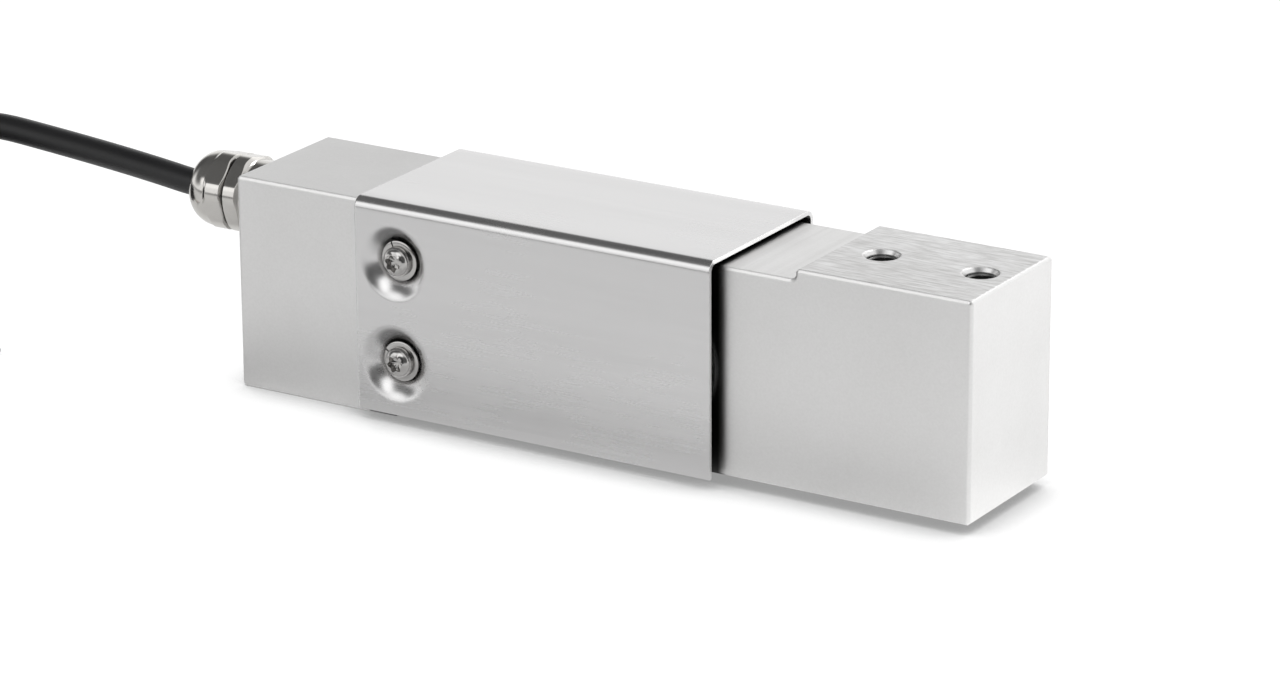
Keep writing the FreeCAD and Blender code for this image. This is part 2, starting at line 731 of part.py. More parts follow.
def hexagon(name, x, length):
    """A hexagonal prism along -X on the gland's axis."""
    prism = DOC.addObject("Part::Prism", name)
    prism.Polygon = 6
    prism.Placement.Rotation = TURNS["-X"].multiply(FreeCAD.Rotation(VEC(0, 0, 1), size("hex_turn")))
    bind(prism, Circumradius=f"gland_flats / 2 / {HEXAGON_SHARE:.7f}", Height=length)
    return at(prism, x, "0", "port_height")


def turned_part(name, corners):
    """A body turned about the gland's axis; corners are places along X and radii."""
    part = body(name)
    profile = outline(part, f"{name}_profile", "XZ_Plane", corners)
    part.Tip = revolved(part, f"{name}_turned", profile, "X_Axis")
    at(part, z="port_height")
    return part


def gland_body():
    """The gland: a thread in the bar, a neck, a hexagon and the thread of the cap nut."""
    inner = "port_radius - thread_play"
    seal_room = "seal_radius + seal_play"
    bore_end = "upper_x - seal_seat"
    groove = "neck_radius - neck_relief"
    core = turned_part(
        "gland_core",
        (
            ("fixed_x + thread_length", "cable_bore"),
            ("fixed_x + thread_length", inner),
            ("fixed_x", inner),
            ("fixed_x - 2 * o_ring_radius", inner),
            ("fixed_x - 2 * o_ring_radius", "neck_radius"),
            ("hex_x + relief_start", "neck_radius"),
            ("hex_x + relief_start", groove),
            ("upper_x + relief_end", groove),
            ("upper_x + relief_end", "upper_thread"),
            ("upper_x - upper_length", "upper_thread"),
            ("upper_x - upper_length", seal_room),
            (bore_end, seal_room),
            (bore_end, "cable_bore"),
        ),
    )
    nut = common(
        "gland_hexagon",
        hexagon("gland_prism", "hex_x", "hex_length"),
        turned_part(
            "gland_hexagon_limits",
            (
                ("hex_x", "cable_bore"),
                ("hex_x", "gland_corners - hex_chamfer"),
                ("hex_x - hex_slope", "gland_corners"),
                ("upper_x + hex_slope", "gland_corners"),
                ("upper_x", "gland_corners - hex_chamfer"),
                ("upper_x", "cable_bore"),
            ),
        ),
    )
    return fused("gland_body", core, nut)


def gland_o_ring():
    """The rubber ring between the neck's shoulder and the bar's end face."""
    ring = DOC.addObject("Part::Torus", "gland_o_ring")
    ring.Placement.Rotation = TURNS["X"]
    bind(ring, Radius1="port_radius + o_ring_radius", Radius2="o_ring_radius")
    return at(ring, "fixed_x - o_ring_radius", "0", "port_height")


def gland_seal():
    """The rubber sleeve that grips the cable."""
    return turned_part(
        "gland_seal",
        (
            ("seal_x", "cable_radius + seal_play"),
            ("seal_x", "seal_radius"),
            ("ring_x", "seal_radius"),
            ("ring_x", "cable_radius + seal_play"),
        ),
    )


def clamp_ring():
    """The slotted ring that the cap nut presses onto the seal."""
    wide, narrow = "upper_thread - ring_step", "cable_bore + ring_wall"
    ring = turned_part(
        "clamp_ring_blank",
        (
            ("ring_x", "cable_bore"),
            ("ring_x", wide),
            ("ring_x - ring_land", wide),
            ("ring_end_x", narrow),
            ("ring_end_x", "cable_bore"),
        ),
    )
    slots = []
    for n in range(3):
        slot = block(f"clamp_slot_{n}", "slot_depth + 1", "2 * upper_thread + 2", "slot_width")
        slot.Placement.Rotation = FreeCAD.Rotation(VEC(1, 0, 0), 60 * n)
        across, up = math.cos(math.radians(60 * n)), math.sin(math.radians(60 * n))
        at(
            slot,
            "ring_end_x - 1",
            f"-(upper_thread + 1) * {across:.6f} + slot_width / 2 * {up:.6f}",
            f"port_height - (upper_thread + 1) * {up:.6f} - slot_width / 2 * {across:.6f}",
        )
        slots.append(slot)
    return cut("clamp_ring", ring, *slots)


def nut_limits():
    """The turned outline of the cap nut: a chamfered rim and a rounded end, a quarter of an ellipse."""
    inner, end = size("nut_x"), size("nut_end_x")
    corners, chamfer = size("gland_corners"), size("hex_chamfer")
    shoulder = end + size("dome_length")
    low, high = size("nut_end_radius"), size("dome_radius")
    middle = VEC(shoulder, 0, low)
    oval = Part.Ellipse(VEC(end, 0, low), VEC(shoulder, 0, high), middle)
    spots = [
        VEC(shoulder, 0, high),
        VEC(shoulder + 2 * (corners - high), 0, corners),
        VEC(inner - size("hex_slope"), 0, corners),
        VEC(inner, 0, corners - chamfer),
        VEC(inner, 0, 0),
        VEC(end, 0, 0),
        VEC(end, 0, low),
    ]
    sides = [Part.LineSegment(a, b).toShape() for a, b in zip(spots, spots[1:])]
    face = Part.Face(Part.Wire([Part.ArcOfEllipse(oval, 0, math.pi / 2).toShape(), *sides]))
    return moved(face.revolve(VEC(0, 0, 0), VEC(1, 0, 0), 360), z=size("port_height"))


def gland_cap_nut():
    """The domed hexagonal nut that closes the gland round the cable."""
    limits = feature("nut_limits", nut_limits())
    solid = common("nut_blank", hexagon("nut_prism", "nut_x", "nut_length"), limits)
    mouth = "upper_thread + thread_play"
    seat_x = "ring_x - ring_land - ring_seat"
    inside = turned_part(
        "nut_inside",
        (
            ("nut_x + mouth_reach", "0"),
            ("nut_x + mouth_reach", mouth),
            (seat_x, mouth),
            (seat_x, "upper_thread - ring_step + ring_gap"),
            ("ring_end_x - ring_seat", "cable_bore + ring_wall + ring_gap"),
            ("nut_end_x - mouth_reach", "cable_bore + mouth_play"),
            ("nut_end_x - mouth_reach", "0"),
        ),
    )
    return cut("gland_cap_nut", solid, inside)


CABLE_WAY = (
    (-31.925, 0.0, 31.5),
    (-35.8, 0.0, 31.5),
    (-42.5, 0.35, 32.2),
    (-54.0, 1.7, 32.8),
    (-70.0, 3.6, 33.3),
    (-89.0, 5.5, 33.8),
    (-109.0, 6.0, 29.5),
    (-127.0, 5.2, 23.7),
    (HANK_START, 5.2, 23.7),
)


def cable_entry():
    """The stretch of cable that the gland holds, up to the end of its jacket."""
    reach = "jacket_end_x - ring_end_x"
    return rod("cable_entry", "X", "cable_radius", reach, "ring_end_x", "0", "port_height")


def cable_pitch():
    """One cable beside the next."""
    return 2 * size("cable_radius")


def hank_middle():
    """The hank's mid line across Y: its first turn goes on from the end of the cable's way."""
    return CABLE_WAY[-1][1] - size("hank_fold")


def hank_base():
    """Underside of the hank, which lies on its two ties."""
    return size("tie_thickness") + 0.2


def hank_outer():
    """Radius of the outermost fold, on the cable's middle."""
    return size("hank_fold") + (HANK_ROWS - 1) * cable_pitch()


def tail_way():
    """The cable's last stretch, from the hank's lowest outer turn along the floor."""
    x, y = HANK_NEAR_END, hank_middle() - hank_outer()
    low = size("cable_radius")
    return (
        (x, y, hank_base() + low),
        (x + 4.0, y, hank_base() + low),
        (x + 9.0, y + 0.3, 0.58 * hank_base() + low),
        (x + 14.0, y + 0.6, low),
        (x + 19.0, y + 0.6, low),
    )


def racetrack(radius, low, tall):
    """An upright solid with two straight sides and round ends, over the hank's own length."""
    y = hank_middle()
    near, far = HANK_NEAR_END, HANK_NEAR_END - size("hank_run")
    wide = VEC(0, radius, 0)
    near_mid, far_mid = VEC(near, y, low), VEC(far, y, low)
    edges = [
        Part.LineSegment(near_mid + wide, far_mid + wide).toShape(),
        Part.Arc(far_mid + wide, far_mid - VEC(radius, 0, 0), far_mid - wide).toShape(),
        Part.LineSegment(far_mid - wide, near_mid - wide).toShape(),
        Part.Arc(near_mid - wide, near_mid + VEC(radius, 0, 0), near_mid + wide).toShape(),
    ]
    return Part.Face(Part.Wire(edges)).extrude(VEC(0, 0, tall))


def cable_hank():
    """The outer shape of the folded cable, with a channel where each end of the cable leaves it."""
    r = size("cable_radius")
    low, tall = hank_base(), HANK_LAYERS * cable_pitch()
    ring = racetrack(hank_outer() + r, low, tall).cut(racetrack(size("hank_fold") - r, low, tall))
    ring = ring.makeFillet(0.9 * r, [e for e in ring.Edges if e.BoundBox.ZLength < 1e-3])
    room = r + 0.3
    x, y, z = CABLE_WAY[-1]
    entry = Part.makeBox(HANK_NEAR_END + 4 * r - x, 2 * room, tall, VEC(x, y - room, z - room))
    side = hank_middle() - hank_outer()
    reach = hank_outer() + 2 * r
    outer_edge = side + 2 * r - 4 * room
    leave = Part.makeBox(reach, 4 * room, low + r + room, VEC(HANK_NEAR_END, outer_edge, 0))
    return feature("cable_hank", ring.cut(entry).cut(leave))


def cable_ties():
    """Two ties, one round the bundle of each straight side, each with its lock on top."""
    r, thick, wide = size("cable_radius"), size("tie_thickness"), size("tie_width")
    play = 0.1
    low, high = size("hank_fold") - r - play, hank_outer() + r + play
    base, tall = hank_base() - play, HANK_LAYERS * cable_pitch() + 2 * play
    long, deep = high - low + 2 * thick, tall + 2 * thick
    outer = Part.makeBox(long, wide, deep, VEC(low - thick, -wide / 2, base - thick))
    outer = outer.makeFillet(1.6 * thick, [e for e in outer.Edges if e.BoundBox.YLength > 1])
    hole = Part.makeBox(high - low, wide, tall, VEC(low, -wide / 2, base))
    roof = base + tall + thick
    lock_long, lock_rim, lock_tall = TIE_LOCK
    lock_wide = wide + lock_rim
    lock_x = high - lock_long - thick
    lock = Part.makeBox(lock_long, lock_wide, lock_tall, VEC(lock_x, -lock_wide / 2, roof - 0.2))
    lock = lock.makeFillet(0.5, lock.Edges)
    tongue_long, tongue_share = TIE_TONGUE
    tongue_wide = wide * tongue_share
    spot = VEC(lock_x + 0.5 - tongue_long, -tongue_wide / 2, roof + 0.9)
    tongue = Part.makeBox(tongue_long, tongue_wide, thick, spot)
    tie = outer.cut(hole).fuse([lock, tongue]).removeSplitter()
    middle = HANK_NEAR_END - size("hank_run") / 2
    spots = [
        moved(tie, middle + x, hank_middle(), 0, FreeCAD.Rotation(VEC(0, 0, 1), angle))
        for x, angle in TIE_PLACES
    ]
    return feature("cable_ties", compound(spots))


def core_way(n):
    """The way of one stripped core from the cable's end, fanned out along the floor."""
    x, y, z = tail_way()[-1]
    angle = math.radians(CORE_STARTS[n])
    across, up = CORE_REACH * math.cos(angle), CORE_REACH * math.sin(angle)
    first, second, last = CORE_FAN
    out, fan, lay, tip = CORE_STEPS
    spread = n - 2
    low = size("ferrule_radius") + 0.05
    return (
        (x, y + across, z + up),
        (x + out, y + across, z + up),
        (x + fan, y + 0.6 * across + first * spread, low + 0.3 * (z + up - low)),
        (x + lay + n % 2, y + second * spread, low),
        (x + tip - abs(spread) / 2, y + last * spread, low),
    )


def cable_core(n):
    """One insulated core, as long as its way."""
    name = f"core_{CORES[n]}"
    return feature(name, tube(core_way(n), size("core_radius"), name))


def core_ferrules():
    """A crimped ferrule on the end of each core."""
    shapes = []
    for n in range(len(CORES)):
        before, end = (VEC(*p) for p in core_way(n)[-2:])
        along = (end - before).normalize()
        collar = Part.makeCone(size("ferrule_radius"), size("core_radius"), 2.0, end, along)
        pin = Part.makeCylinder(size("core_radius") * 0.7, 6.0, end + along * 1.0, along)
        shapes.append(collar.fuse(pin).removeSplitter())
    return feature("core_ferrules", compound(shapes))


def inner_cores():
    """Four cores from the cable's stripped end, down the slanting way to the board."""
    start, end = lead_way_ends()
    off = size("core_radius") * 1.15
    board_top = size("pocket_floor") + size("glue_line") + size("board_thickness")
    shapes = []
    for n, (across, up) in enumerate(((-1, -1), (1, -1), (-1, 1), (1, 1))):
        y, rise = across * off, up * off
        shapes.append(
            tube(
                (
                    (size("jacket_end_x"), y, start.z + rise),
                    (start.x + 1.5, y, start.z + rise),
                    (end.x + 0.6, y, end.z + rise),
                    (end.x + 2.0, y * 2.5, end.z - 3.0 + rise),
                    (end.x + 2.2, y * 4 + 0.8 * up, board_top + size("core_radius")),
                ),
                size("core_radius"),
                f"inner core {n}",
            )
        )
    return feature("inner_cores", compound(shapes))


def wall_point(bore, degrees, lane):
    """A point just inside a flexure bore's wall, at an angle from +X and a distance across."""
    reach = size("flexure_radius") - 3 * size("lead_radius")
    angle = math.radians(degrees)
    return (
        size(bore) + reach * math.cos(angle),
        lane,
        size("mid_z") + reach * math.sin(angle),
    )


def gauge_leads():
    """Two thin leads from each gauge, laid along the walls of the bores to the board."""
    near, far = "near_bore_x", "far_bore_x"
    board_top = size("pocket_floor") + size("glue_line") + size("board_thickness") + size("lead_radius")
    shapes = []
    pocket, floor = size("pocket_x"), size("pocket_floor")
    deep, tall = size("pocket_length"), size("pocket_height")
    neck = math.sqrt(size("flexure_radius") ** 2 - (size("flexure_pitch") / 2) ** 2) - 2.2
    mouth = size("near_bore_x") - 0.84 * size("flexure_radius")
    between = size("near_bore_x") + size("flexure_pitch") / 2
    for level in (-1, 1):
        drop = [(mouth, size("mid_z") + 0.65 * level * tall / 2)]
        if level > 0:
            drop += [(pocket + 0.85 * deep, floor + 0.83 * tall), (pocket + 0.27 * deep, floor + 0.62 * tall)]
        end_x = pocket + (0.95 if level < 0 else 0.47) * deep
        for bore, lanes in ((near, (-2.6, 2.6)), (far, (-5.8, 5.8))):
            for lane in lanes:
                way = []
                if bore == far:
                    way += [wall_point(far, level * a, lane) for a in (108, 128)]
                    way.append((between, lane, size("mid_z") + level * neck))
                    way += [wall_point(near, level * a, lane) for a in (52, 74, 92)]
                way += [wall_point(near, level * a, lane) for a in (110, 126, 140)]
                way += [(x, lane, z) for x, z in drop]
                way.append((end_x, lane * 1.2, board_top + 0.03))
                shapes.append(tube(way, size("lead_radius"), "gauge lead"))
    return feature("gauge_leads", compound(shapes))


def build():
    """Every piece of the load cell, by the name of its file."""
    pieces = [
        spring_body(),
        protective_cover(),
        cover_screws(),
        screw_washers(),
        sealing_plate("front_sealing_plate", -1),
        sealing_plate("rear_sealing_plate", 1),
        strain_gauge("gauge_upper_fixed", "near_bore_x", 1),
        strain_gauge("gauge_lower_fixed", "near_bore_x", -1),
        strain_gauge("gauge_upper_live", "far_bore_x", 1),
        strain_gauge("gauge_lower_live", "far_bore_x", -1),
        bridge_board(),
        board_resistors(),
        gauge_leads(),
        inner_cores(),
        gland_body(),
        gland_o_ring(),
        gland_seal(),
        clamp_ring(),
        gland_cap_nut(),
        cable_entry(),
        feature("cable_run", tube(CABLE_WAY, size("cable_radius"), "cable run")),
        cable_hank(),
        cable_ties(),
        feature("cable_tail", tube(tail_way(), size("cable_radius"), "cable tail")),
        *(cable_core(n) for n in range(len(CORES))),
        core_ferrules(),
    ]
    DOC.recompute()
    return pieces


def check(pieces):
    """Stop if an object failed, or if a piece has no sound shape."""
    for thing in DOC.Objects:
        if {"Invalid", "Error"} & set(thing.State):
            raise RuntimeError(f"{thing.Name} failed: {thing.State}")
    for thing in pieces:
        if thing.Shape.isNull() or not thing.Shape.isValid() or not thing.Shape.Solids:
            raise RuntimeError(f"{thing.Name} has no sound shape")


def write(pieces):
    """One file for each piece."""
    os.makedirs("parts", exist_ok=True)
    for thing in pieces:
        thing.Label = thing.Name
        thing.Shape.exportStep(f"parts/{thing.Name}.step")
        box = thing.Shape.BoundBox
        spans = (box.XMin, box.XMax, box.YMin, box.YMax, box.ZMin, box.ZMax)
        extent = " ".join(f"{value:.2f}" for value in spans)
        print(f"{thing.Name}: {len(thing.Shape.Solids)} solids, {thing.Shape.Volume:.1f} mm3, {extent}")


PIECES = build()
check(PIECES)
write(PIECES)
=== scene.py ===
"""Looks of the single point load cell: brushed cover, machined bar, gland, cable and their studio.

Sizes are millimetres in the part's own frame and become metres when a mesh is made.
"""
from __future__ import annotations

import json
import logging
import math
from dataclasses import dataclass
from enum import Enum

import bmesh
import bpy
import numpy as np
from mathutils import Matrix, Vector

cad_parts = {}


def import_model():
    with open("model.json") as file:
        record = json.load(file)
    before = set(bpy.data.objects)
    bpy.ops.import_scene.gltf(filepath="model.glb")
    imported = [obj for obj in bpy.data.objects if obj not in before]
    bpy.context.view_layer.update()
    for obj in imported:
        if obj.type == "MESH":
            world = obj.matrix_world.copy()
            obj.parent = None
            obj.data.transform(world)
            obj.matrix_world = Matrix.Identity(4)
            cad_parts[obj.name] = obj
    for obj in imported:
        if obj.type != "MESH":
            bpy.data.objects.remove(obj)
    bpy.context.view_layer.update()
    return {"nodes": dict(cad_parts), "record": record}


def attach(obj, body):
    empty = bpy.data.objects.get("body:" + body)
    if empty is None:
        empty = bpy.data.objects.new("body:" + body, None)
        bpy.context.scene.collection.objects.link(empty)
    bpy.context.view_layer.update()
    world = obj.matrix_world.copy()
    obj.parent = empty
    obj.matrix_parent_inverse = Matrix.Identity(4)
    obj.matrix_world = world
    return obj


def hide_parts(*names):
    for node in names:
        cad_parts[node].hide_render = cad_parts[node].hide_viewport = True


MM = 0.001
ROOT = "root"
Colour = tuple[float, float, float]
Point = tuple[float, float, float]
BLACK = (0.0, 0.0, 0.0, 1.0)
LOG = logging.getLogger("load_cell")


@dataclass(frozen=True)
class Solids:
    """Sizes of the solids that more than one piece of the scene takes up."""

    load_x: float = 118.55
    load_z: float = 41.7
    bolt_pitch: float = 19.05
    cover_start: float = 12.275
    cover_end: float = 85.375
    cover_side: float = 17.7
    dish_depth: float = 2.5
    screw_x: float = 20.375
    screw_heights: tuple[float, float] = (11.45, 30.25)
    port_height: float = 31.5


SOLIDS = Solids()


# Shader arithmetic


class Value:
    """A shader socket that takes part in Python arithmetic."""

    def __init__(self, graph: Graph, socket: bpy.types.NodeSocket) -> None:
        """Wrap one output socket of a graph."""
        self.graph = graph
        self.socket = socket

    def _join(self, operation: str, first: Value | float, second: Value | float) -> Value:
        """One Math node.

        Args:
            operation: the node's operation.
            first: its first value.
            second: its second value.

        Returns:
            The node's result.
        """
        return self.graph.node("ShaderNodeMath", {"operation": operation}, {0: first, 1: second})

    def __add__(self, other: Value | float) -> Value:
        """Sum."""
        return self._join("ADD", self, other)

    def __radd__(self, other: float) -> Value:
        """Sum, reflected."""
        return self._join("ADD", other, self)

    def __sub__(self, other: Value | float) -> Value:
        """Difference."""
        return self._join("SUBTRACT", self, other)

    def __rsub__(self, other: float) -> Value:
        """Difference, reflected."""
        return self._join("SUBTRACT", other, self)

    def __mul__(self, other: Value | float) -> Value:
        """Product."""
        return self._join("MULTIPLY", self, other)

    def __rmul__(self, other: float) -> Value:
        """Product, reflected."""
        return self._join("MULTIPLY", other, self)

    def __pow__(self, other: Value | float) -> Value:
        """Power."""
        return self._join("POWER", self, other)

    def __abs__(self) -> Value:
        """Size without sign."""
        return self._join("ABSOLUTE", self, 0.0)

    def least(self, other: Value | float) -> Value:
        """The smaller of two values."""
        return self._join("MINIMUM", self, other)

    def ramp(self, low: float, high: float, start: float = 0.0, end: float = 1.0) -> Value:
        """A smooth step of this value.

        Args:
            low: where the step begins.
            high: where it ends.
            start: the result up to low.
            end: the result from high on.

        Returns:
            The stepped value.
        """
        settings = {"interpolation_type": "SMOOTHSTEP"}
        return self.graph.node(
            "ShaderNodeMapRange", settings, {0: self, 1: low, 2: high, 3: start, 4: end}
        )


class Graph:
    """The node tree of a material or of the world."""

    def __init__(self, owner: bpy.types.Material | bpy.types.World) -> None:
        """Clear the owner's tree and keep it.

        Args:
            owner: the material or world.
        """
        owner.use_nodes = True
        self.tree = owner.node_tree
        self.tree.nodes.clear()

    def node(
        self,
        kind: str,
        settings: dict | None = None,
        values: dict | None = None,
        output: int | str = 0,
    ) -> Value:
        """Add one node.

        Args:
            kind: the node's type.
            settings: its properties, set first.
            values: numbers or links for its inputs, by name or index.
            output: the name or index of the wanted output.

        Returns:
            The output, ready for arithmetic.
        """
        made = self.tree.nodes.new(kind)
        for name, setting in (settings or {}).items():
            setattr(made, name, setting)
        for key, value in (values or {}).items():
            if isinstance(value, Value):
                self.tree.links.new(value.socket, made.inputs[key])
            elif value is not None:
                made.inputs[key].default_value = value
        return Value(self, made.outputs[output] if made.outputs else None)

    def mix(self, factor: Value | float, first: Value | tuple, second: Value | tuple) -> Value:
        """A blend of two colours.

        Args:
            factor: share of the second one.
            first: colour at 0.
            second: colour at 1.

        Returns:
            The blended colour.
        """
        settings = {"data_type": "RGBA"}
        return self.node("ShaderNodeMix", settings, {0: factor, 6: first, 7: second}, output=2)

    def toned(self, share: Value, colour: Colour, reach: float) -> Value:
        """A colour that is darker by reach where the share is 0, and lighter by reach where it is 1."""
        return self.mix(share, tinted(colour, -reach), tinted(colour, reach))

    def noise(self, where: Value, scale: float, detail: float = 3.0) -> Value:
        """A noise between 0 and 1, with its mean at a half."""
        values = {"Vector": where, "Scale": scale, "Detail": detail}
        return self.node("ShaderNodeTexNoise", None, values)

    def object_place(self, stretch: Point = (1.0, 1.0, 1.0)) -> Value:
        """Object coordinates, each axis multiplied by its own number."""
        place = self.node("ShaderNodeTexCoord", output="Object")
        return self.vector("MULTIPLY", place, stretch)

    def part_of(self, vector: Value, axis: int) -> Value:
        """One coordinate of a vector."""
        return self.node("ShaderNodeSeparateXYZ", None, {0: vector}, output=axis)

    def open_share(self, distance: float) -> Value:
        """How open a place is: 1 where nothing else comes within the distance, in metres."""
        values = {"Distance": distance}
        return self.node("ShaderNodeAmbientOcclusion", {"samples": 5}, values, output="AO")

    def vector(self, operation: str, first: Value, second: Value | Point | None = None) -> Value:
        """The vector that one Vector Math node makes of a vector, or of two."""
        return self.node("ShaderNodeVectorMath", {"operation": operation}, {0: first, 1: second})

    def bump(self, height: Value, distance: float, normal: Value | None = None) -> Value:
        """A normal bent by a height; the surface's own normal, if none is given."""
        values = {"Height": height, "Distance": distance, "Normal": normal}
        return self.node("ShaderNodeBump", None, values)

    def surface(self, **values: Value | float | tuple) -> None:
        """Close a material with one Principled shader, its inputs given with underscores for spaces."""
        named = {name.replace("_", " "): value for name, value in values.items()}
        shader = self.node("ShaderNodeBsdfPrincipled", None, named)
        self.node("ShaderNodeOutputMaterial", None, {"Surface": shader})


def rgba(colour: Colour) -> tuple[float, float, float, float]:
    """A colour with full cover."""
    return (*colour, 1.0)


def tinted(colour: Colour, share: float) -> tuple[float, float, float, float]:
    """A colour made lighter or darker by a share of itself."""
    return rgba(tuple(min(1.0, part * (1.0 + share)) for part in colour))


# Finishes


class Grain(Enum):
    """Which way the fine marks of a metal run: their stretch along X, Y and Z."""

    ALONG = (0.035, 1.0, 1.0)
    EVEN = (1.0, 1.0, 1.0)


@dataclass(frozen=True)
class Finish:
    """A named material in one main colour. Each kind of finish has its own shade method."""

    name: str
    colour: Colour

    def shade(self, graph: Graph) -> None:
        """Make the nodes of the material's graph."""
        raise NotImplementedError

    def build(self) -> bpy.types.Material:
        """Make the material.

        Returns:
            The material.
        """
        material = bpy.data.materials.new(self.name)
        self.shade(Graph(material))
        return material


@dataclass(frozen=True)
class Metal(Finish):
    """Bare or plated metal with brushing or blasting marks and a faint cloudiness.

    Where crevice is more than 0, shade is painted into the colour: places that something else comes
    closer to than crevice are dark, crevice_light is the share of light left in them, and under_light
    the share on faces that look down.
    """

    roughness: float
    contrast: float = 0.35
    grain: Grain = Grain.EVEN
    grain_scale: float = 900.0
    grain_depth: float = 0.002
    grain_shade: float = 0.06
    grain_roughness: float = 0.08
    streak_share: float = 0.12
    cloud_scale: float = 60.0
    cloud_shade: float = 0.05
    cloud_roughness: float = 0.06
    crevice: float = 0.0
    crevice_light: float = 0.12
    under_light: float = 1.0

    def shade(self, graph: Graph) -> None:
        """Marks are a stretched noise and clouds a wide one. Both shade and roughen; marks dent too.

        Streaks are the same noise made wider, with streak_share of the marks' scale.

        Args:
            graph: the material's graph.
        """
        marks = graph.noise(graph.object_place(self.grain.value), self.grain_scale, 4.0)
        clouds = graph.noise(graph.object_place(), self.cloud_scale, 3.0)
        wide_scale = self.streak_share * self.grain_scale
        streaks = graph.noise(graph.object_place(self.grain.value), wide_scale, 2.0)
        tone = self.grain_shade * (marks + streaks - 1.0) + self.cloud_shade * (clouds - 0.5) * 2.0
        share = tone.ramp(-self.contrast, self.contrast)
        colour = graph.toned(share, self.colour, self.contrast)
        roughness = self.roughness + self.cloud_roughness * (clouds - 0.5) * 2.0
        roughness = roughness + self.grain_roughness * (marks - 0.5)
        # painted shade: ambient occlusion darkens the colour in crevices, and more on faces that look down
        if self.crevice > 0.0:
            open_share = graph.open_share(self.crevice * MM)
            light = open_share.ramp(0.3, 0.9, self.crevice_light, 1.0)
            upright = graph.part_of(graph.node("ShaderNodeNewGeometry", output="Normal"), 2)
            light = light * upright.ramp(-0.5, -0.25, self.under_light, 1.0)
            colour = graph.mix(light, BLACK, colour)
        graph.surface(
            Base_Color=colour,
            Metallic=1.0,
            Roughness=roughness,
            Normal=graph.bump(marks, self.grain_depth * MM),
        )


@dataclass(frozen=True)
class CutterMarks:
    """One kind of cutter marks on the bar: a stretched noise around zero."""

    stretch: Point
    scale: float
    detail: float
    depth: float

    def value(self, graph: Graph) -> Value:
        """The noise of a graph, its mean moved to zero and multiplied by its depth."""
        return self.depth * (graph.noise(graph.object_place(self.stretch), self.scale, self.detail) - 0.5)


